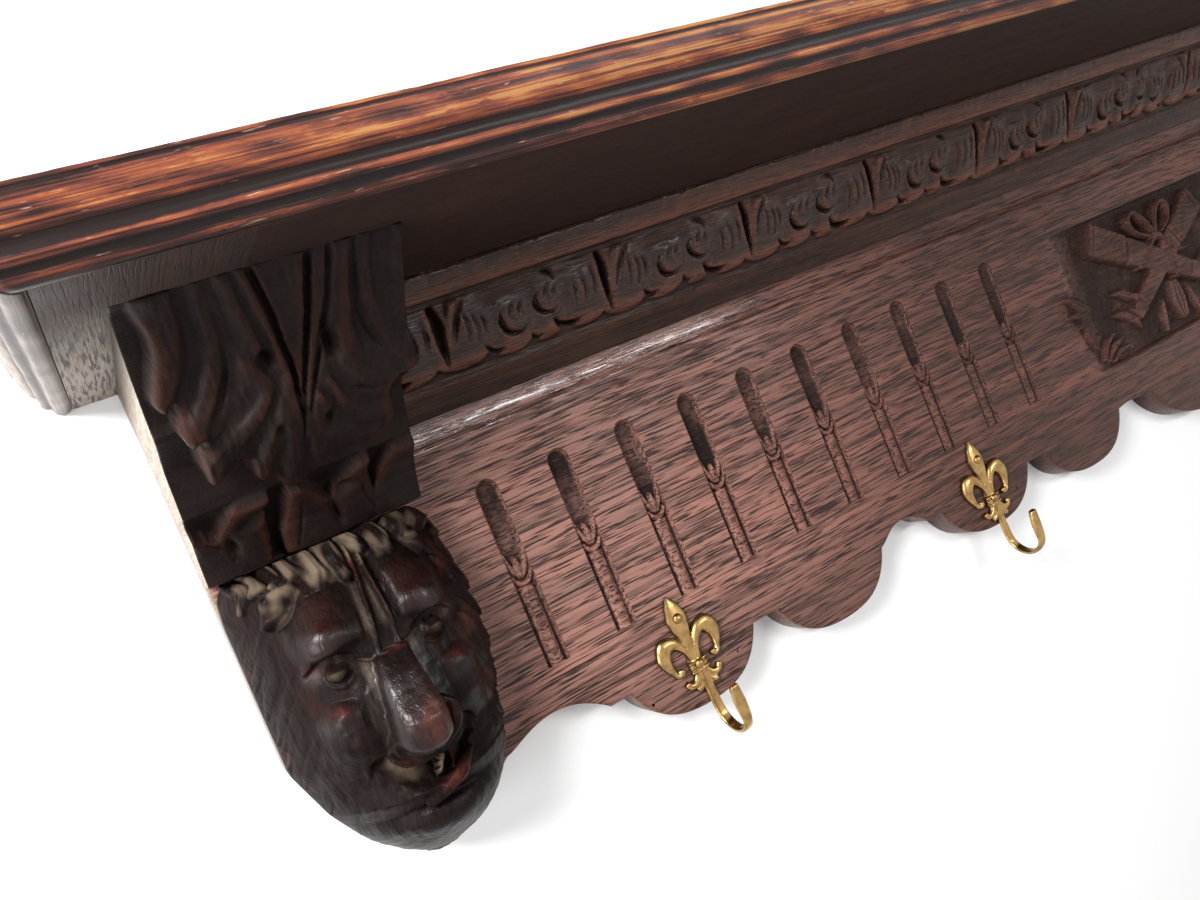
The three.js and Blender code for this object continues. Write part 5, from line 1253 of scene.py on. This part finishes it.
def cornice():
    """The moulding on three sides of the shelf, mitred at the two front corners."""
    section = cornice_section()
    e, u, rub = section.T
    mitre = 0.2

    def moulding(name, shares, place, length, finish):
        """One run of the moulding, which place sets at each share of the way; length is in millimetres."""
        ring = len(section)
        points, wear, dust = [], [], []
        for share in shares:
            # a hand-worked run: the members wander a little and the arris is nicked
            run = np.full(ring, share * length)
            wob = 0.16 * wander(run, u * 9, 38, 51) + 0.10 * wander(run, u * 30, 7, 52)
            nick = 0.55 * np.clip(wander(run, u * 4, 11, 53) - 0.75, 0, 1) * (rub > 0.5)
            ee = np.clip(e - (nick - wob) * (e > 1), 0, 15.5)
            points.append(place(share, ee, np.minimum(u, SHELF_THICK)))
            # painted light: wear, and with it the brighter orange, is raised away from the ends of each run,
            # making up for light that falls off along the moulding
            bare = 1 + 0.55 * ease((0.9 - abs(share)) / 0.3)
            wear.append(np.clip(rub * bare * (1 + 0.4 * wander(run, u * 3, 24, 54)), 0, 1.25))
            dust.append(np.where((rub < 0.05) & (e > 6), 0.7, 0.0))
        last = (len(shares) - 1) * ring
        faces = tube_faces(len(shares), ring)
        faces += [list(range(ring))[::-1], [last + i for i in range(ring)]]
        make(name + "_moulded", np.concatenate(points), faces, finish, [name],
             {"wear": np.concatenate(wear), "dust": np.concatenate(dust)}, flat_faces=2)

    def front(share, ee, uu):
        # the share runs -1 to 1, and the ends are mitred
        return np.stack([share * (SHELF_HALF + ee - mitre), SHELF_DEEP + ee, SOFFIT + uu], 1)

    def side(sign):
        # the share runs 0 at the wall to 1 at the mitre
        def place(share, ee, uu):
            return np.stack([sign * (SHELF_HALF + ee), share * (SHELF_DEEP + ee - mitre), SOFFIT + uu], 1)

        return place

    moulding("cornice_front", np.linspace(-1, 1, 480), front, 650.0, worn_oak)
    moulding("cornice_left", np.linspace(0, 1, 90), side(-1), 190.0, dry_oak)
    moulding("cornice_right", np.linspace(0, 1, 90), side(1), 190.0, dry_oak)


# Hooks and nails


def bar(path, normal, across, through, blunt=2.0, ring=14):
    """A closed bar along a flat line: across is its half width in the line's plane, through out of it."""
    p = np.asarray(path, float)
    n = np.asarray(normal, float)
    way = np.gradient(p, axis=0)
    way /= np.linalg.norm(way, axis=1, keepdims=True)
    side = np.cross(way, n)
    side /= np.linalg.norm(side, axis=1, keepdims=True)
    share = np.linspace(0, 1, len(p))
    wa = np.interp(share, np.linspace(0, 1, len(across)), across)
    th = np.interp(share, np.linspace(0, 1, len(through)), through)
    f = np.linspace(0, 2 * pi, ring + 1)[:-1]
    c = np.sign(np.cos(f)) * np.abs(np.cos(f)) ** (2 / blunt)
    s = np.sign(np.sin(f)) * np.abs(np.sin(f)) ** (2 / blunt)
    rings = [p[k] + side[k] * wa[k] * c[:, None] + n * th[k] * s[:, None] for k in range(len(p))]
    points = np.vstack(rings + [p[:1], p[-1:]])
    faces = tube_faces(len(p), ring)
    top, end = len(p) * ring, (len(p) - 1) * ring
    faces += [[(i + 1) % ring, i, top] for i in range(ring)]
    faces += [[end + i, end + (i + 1) % ring, top + 1] for i in range(ring)]
    return points, faces


def cast_hook():
    """The casting about its tip: a fleur-de-lis plate and a strap that turns out into a J."""
    out = (0, 1, 0)
    shells = []

    def flat(path, across, through, d=1.0):
        line = bend(path)
        shells.append(bar(np.stack([line[:, 0], np.full(len(line), d), line[:, 1]], 1), out, across, through))

    # pointed middle petal that narrows to a stem down through the collar
    flat([(0, 0.2), (0, -5), (0, -11), (0, -17), (0, -23), (0, -30)], [0.5, 3.9, 6.0, 5.2, 3.0, 1.8],
         [0.8, 1.8, 2.4, 2.4, 2.2, 2.2])
    flat([(0, -28), (0, -34), (0, -41), (0, -48)], [1.8, 2.6, 3.4, 2.4], [2.2, 2.4, 2.6, 1.4])
    for s in (-1, 1):
        # side petals rise thin, swell over the shoulder and curl back to a small ball
        flat([(s * 2.0, -33), (s * 3.6, -27), (s * 7.4, -21.6), (s * 12.4, -20.6), (s * 15.2, -25.4),
              (s * 14.6, -30.6), (s * 13.2, -34.4)], [1.2, 1.7, 3.0, 4.5, 4.0, 2.4, 1.4],
             [1.6, 2.0, 2.6, 2.9, 2.6, 2.1, 1.8])
        flat([(s * 13.8, -32.5), (s * 12.6, -35.6), (s * 10.2, -36.0), (s * 9.4, -34.2)],
             [1.4, 1.5, 1.7, 1.9], [1.8, 2.0, 2.2, 2.6])
        flat([(s * 1.8, -39), (s * 5.0, -43.5), (s * 8.6, -43.9), (s * 10.4, -41.4)], [1.6, 2.0, 1.8, 1.7],
             [1.6, 2.0, 1.9, 2.0])
        flat([(s * 1.5, -42), (s * 3.6, -46.3), (s * 6.2, -47.4)], [1.4, 1.8, 1.5], [1.4, 1.8, 1.8])
        for drop in (-34.2, -36.4, -38.6):
            flat([(0, drop), (s * 3.0, drop - 0.4), (s * 5.4, drop - 0.2)], [0.9, 1.0, 0.8], [2.8, 2.6, 1.8])
    # thin plate behind the petals
    flat([(0, -8), (0, -20), (0, -34), (0, -44)], [2.0, 3.0, 5.0, 3.5], [0.8, 0.8, 0.8, 0.8], 0.6)
    # strap down the wall, round the bend and up to its rounded end
    line = [(1.6, -40), (1.4, -50), (1.3, -58)]
    for f in np.linspace(pi, 2 * pi, 9):
        line.append((STRAP_TURN[0] + STRAP_REACH[0] * cos(f), STRAP_TURN[1] + STRAP_REACH[1] * sin(f)))
    line += [(23.8, -54), (24.4, -48.5), (25.0, -45.6)]
    strap = bend(line, 4)
    shells.append(bar(np.stack([np.zeros(len(strap)), strap[:, 0], strap[:, 1]], 1), (1, 0, 0),
                      [1.2, 1.15, 1.1, 1.1, 1.15, 1.2, 1.7, 1.6],
                      [2.4, 2.7, 2.7, 2.7, 2.7, 2.6, 3.2, 2.2], 3.0))
    return melted(shells)


def melted(shells):
    """Points and faces of the bars run together into one casting."""
    faces, count = [], 0
    for points, f in shells:
        faces += [[k + count for k in q] for q in f]
        count += len(points)
    p = np.vstack([points for points, _ in shells])
    mesh = bpy.data.meshes.new("hook_wax")
    mesh.from_pydata((p * MM).tolist(), [], faces)
    bm = bmesh.new()
    bm.from_mesh(mesh)
    bmesh.ops.recalc_face_normals(bm, faces=bm.faces)
    bm.to_mesh(mesh)
    bm.free()
    wax = bpy.data.objects.new("hook_wax", mesh)
    bpy.context.scene.collection.objects.link(wax)
    melt = wax.modifiers.new("melt", "REMESH")
    melt.mode, melt.voxel_size, melt.use_smooth_shade = "VOXEL", 0.00045, True
    calm = wax.modifiers.new("calm", "SMOOTH")
    calm.factor, calm.iterations = 0.6, 3
    cast = wax.evaluated_get(bpy.context.evaluated_depsgraph_get()).to_mesh()
    co = np.empty(len(cast.vertices) * 3)
    cast.vertices.foreach_get("co", co)
    quads = [list(q.vertices) for q in cast.polygons]
    co = co.reshape(-1, 3) / MM
    wax.to_mesh_clear()
    bpy.data.objects.remove(wax)
    bpy.data.meshes.remove(mesh)
    return co, quads


def hooks():
    """Four castings, each turned about its tip by its own lean, and their nails."""
    co, quads = cast_hook()
    for name, (x, tip, lean) in HOOKS.items():
        c, s = cos(radians(lean)), sin(radians(lean))
        p = np.empty_like(co)
        p[:, 0] = x + co[:, 0] * c - co[:, 2] * s
        p[:, 1] = BOARD_FACE + np.maximum(co[:, 1], 0.02)
        p[:, 2] = tip + co[:, 2] * c + co[:, 0] * s
        # tarnish has stayed low down between the petals, and the strap is rubbed
        low = np.clip((2.3 - co[:, 1]) / 1.5, 0, 1) * (co[:, 2] > -49)
        make(name + "_cast", p, quads, brass, [name], {"dust": low})
        for place, drop, seat in zip(("upper", "lower"), NAIL_DROPS, NAIL_SEATS):
            nail(name + "_nail_" + place, x + drop * s, tip - drop * c, seat)


def nail(name, x, z, seat):
    """A domed brass nail: head, shoulder and shank."""
    profile = [(0, seat + 1.9), (0.9, seat + 1.8), (1.8, seat + 1.35), (2.4, seat + 0.7), (2.7, seat - 0.1),
               (2.5, seat - 0.5), (1.1, seat - 0.6), (1.1, 9.5), (0, 8.5)]
    ring = 20
    points, faces = [], []
    f = np.linspace(0, 2 * pi, ring + 1)[:-1]
    for r, d in profile:
        points += [(x + r * cos(t), d, z + r * sin(t)) for t in f] if r else [(x, d, z)]
    faces += [[0, 1 + (i + 1) % ring, 1 + i] for i in range(ring)]
    faces += tube_faces(len(profile) - 2, ring, 1)
    a, last = 1 + (len(profile) - 3) * ring, len(points) - 1
    faces += [[a + i, a + (i + 1) % ring, last] for i in range(ring)]
    # the crown of the head is rubbed, and the rest is dark
    crown = 1 + 3 * ring
    marks = [0.1] * crown + [0.6] * (len(points) - crown)
    make(name + "_domed", points, faces, brass, [name], {"dust": marks})


# Shelf boards


def shelf_end_finish():
    """Stained like the soffit towards the front, but bare and grey by the wall past the corbel."""
    finish = oak("shelf_end_oak", "#2d211d", "#36271f", "#1a1110", "#52301f", "#7c705e",
                 along="y", gloss=0.55, shine=0.25, pores=0.45, blotch=0.3)
    tree = finish.node_tree
    place = node(tree, "ShaderNodeTexCoord").outputs["Object"]
    across = node(tree, "ShaderNodeSeparateXYZ", {0: place})
    # grey grain lines 1.1 mm wide and 16 mm long
    run = node(tree, "ShaderNodeMapping", {"Vector": place, "Scale": (1000 / 1.1, 1000 / 16, 1000 / 1.1)})
    lines = node(tree, "ShaderNodeTexNoise", {"Vector": run.outputs[0], "Scale": 1.0, "Detail": 3.0})
    lines = lines.outputs["Fac"]
    grey = node(tree, "ShaderNodeMapRange", {"Value": lines, "From Min": 0.47, "From Max": 0.6}).outputs[0]
    grey = node(tree, "ShaderNodeMix", {"Factor": grey, 6: tint("#958a80"), 7: tint("#3e3631")},
                data_type="RGBA").outputs[2]
    out = node(tree, "ShaderNodeMath", {0: across.outputs[0]}, operation="ABSOLUTE").outputs[0]
    past = node(tree, "ShaderNodeMapRange", {"Value": out, "From Min": 0.618, "From Max": 0.628}).outputs[0]
    ragged = node(tree, "ShaderNodeMath", {0: lines, 1: 0.05, 2: across.outputs[1]}, operation="MULTIPLY_ADD")
    back = node(tree, "ShaderNodeMapRange", {"Value": ragged.outputs[0], "From Min": -0.125,
                                             "From Max": -0.06}).outputs[0]
    bare = node(tree, "ShaderNodeMath", {0: past, 1: back}, operation="MULTIPLY").outputs[0]
    lay_over(finish, bare, grey)
    return finish


def shelf_boards():
    """The shelf and its two ends keep their own solids, with a finish and a softened edge."""
    end_oak = shelf_end_finish()
    for name, finish in (("shelf_board", soffit_oak), ("shelf_end_left", end_oak),
                         ("shelf_end_right", end_oak)):
        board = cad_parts[name]
        board.data.materials.clear()
        board.data.materials.append(finish)
        arris = board.modifiers.new("eased_arris", "BEVEL")
        arris.width, arris.segments, arris.limit_method = 0.0004, 2, "ANGLE"


backboard()
acanthus_rail()
corbel("corbel_left", -1)
corbel("corbel_right", 1)
lion_mask("lion_mask_left", -1)
lion_mask("lion_mask_right", 1)
cornice()
hooks()
shelf_boards()


# Table, light and camera


TABLE_WIDE, TABLE_GAP = 8000.0, 0.6     # the table is square and lies just behind the rack
TABLE_GLOW = 0.16                       # keeps the table's far side white in the picture


def table():
    """White table top that the rack lies on, open behind the rack so that its back shows from behind."""
    upper = np.array([(HALF_BOARD - 4, SOFFIT + 1), (SHELF_HALF + 10, SOFFIT + 3),
                      (SHELF_HALF + 10, SOFFIT + 17)])
    hole = inset(whole_edge(np.vstack([lower_edge()[:-1], upper])), 3.0)
    half = TABLE_WIDE / 2
    flat, faces = fill([np.array([(-half, -half), (half, -half), (half, half), (-half, half)]), hole])
    mesh = bpy.data.meshes.new("table_top")
    mesh.from_pydata([(x * MM, TABLE_GAP * MM, z * MM) for x, z in flat], [], faces)
    mesh.update()
    top = bpy.data.objects.new("table_top", mesh)
    bpy.context.scene.collection.objects.link(top)
    finish, tree = new_finish("white_table_top")
    face = node(tree, "ShaderNodeNewGeometry").outputs["Backfacing"]
    paint = node(tree, "ShaderNodeBsdfDiffuse", {"Color": tint("#f7f7f7")}).outputs[0]
    ray = node(tree, "ShaderNodeLightPath")
    seen = node(tree, "ShaderNodeMath", {0: ray.outputs["Is Camera Ray"], 1: ray.outputs["Is Glossy Ray"]},
                operation="MAXIMUM").outputs[0]
    seen = node(tree, "ShaderNodeMath", {0: seen, 1: TABLE_GLOW}, operation="MULTIPLY").outputs[0]
    glow = node(tree, "ShaderNodeEmission", {"Color": tint("#ffffff"), "Strength": seen}).outputs[0]
    lit = node(tree, "ShaderNodeAddShader", {0: paint, 1: glow}).outputs[0]
    clear = node(tree, "ShaderNodeBsdfTransparent").outputs[0]
    either = node(tree, "ShaderNodeMixShader", {0: face, 1: lit, 2: clear}).outputs[0]
    node(tree, "ShaderNodeOutputMaterial", {"Surface": either})
    mesh.materials.append(finish)


def lamp(name, place, aim, size, power):
    """An oblong lamp at a place in metres, turned to what it lights; size in metres, power in watts."""
    data = bpy.data.lights.new(name, "AREA")
    data.shape, data.size, data.size_y, data.energy = "RECTANGLE", size[0], size[1], power
    light = bpy.data.objects.new(name, data)
    light.location = place
    light.rotation_euler = (Vector(aim) - Vector(place)).to_track_quat("-Z", "Y").to_euler()
    bpy.context.scene.collection.objects.link(light)


def studio():
    """A white room that lights the rack softly, and three lamps."""
    world = bpy.data.worlds.new("white_studio")
    bpy.context.scene.world = world
    world.use_nodes = True
    tree = world.node_tree
    tree.nodes.clear()
    ray = node(tree, "ShaderNodeLightPath")
    seen = ray.outputs["Is Camera Ray"]
    for other in ("Is Glossy Ray", "Is Transmission Ray"):
        seen = node(tree, "ShaderNodeMath", {0: seen, 1: ray.outputs[other]}, operation="MAXIMUM").outputs[0]
    # full white where it is seen, and a plain low level on the rack itself
    level = node(tree, "ShaderNodeMix", {"Factor": seen, 2: 0.2, 3: 1.0}, data_type="FLOAT").outputs[0]
    sky = node(tree, "ShaderNodeBackground", {"Color": tint("#ffffff"), "Strength": level})
    node(tree, "ShaderNodeOutputWorld", {"Surface": sky.outputs[0]})
    lamp("window_light", (0.16, -1.2, 0.09), (-0.42, 0, 0), (0.7, 0.14), 6.0)
    lamp("near_light", (-1.05, -0.52, 0.34), (-0.45, 0, 0), (0.3, 0.3), 11.5)
    lamp("left_light", (-1.9, -0.6, -0.25), (-0.62, -0.08, 0.04), (0.7, 0.7), 12)


def camera():
    """The camera fitted to the photograph by the rack's own edges."""
    data = bpy.data.cameras.new("photo_camera")
    data.sensor_width, data.lens = 36, 29.5395
    data.clip_start, data.clip_end = 0.01, 50
    eye = bpy.data.objects.new("photo_camera", data)
    eye.location = (-0.645285, -0.438214, 0.016452)
    eye.rotation_euler = [radians(v) for v in (86.598277, 22.484031, -27.035507)]
    bpy.context.scene.collection.objects.link(eye)
    bpy.context.scene.camera = eye


table()
studio()
camera()
bpy.context.scene.view_settings.view_transform = "Standard"
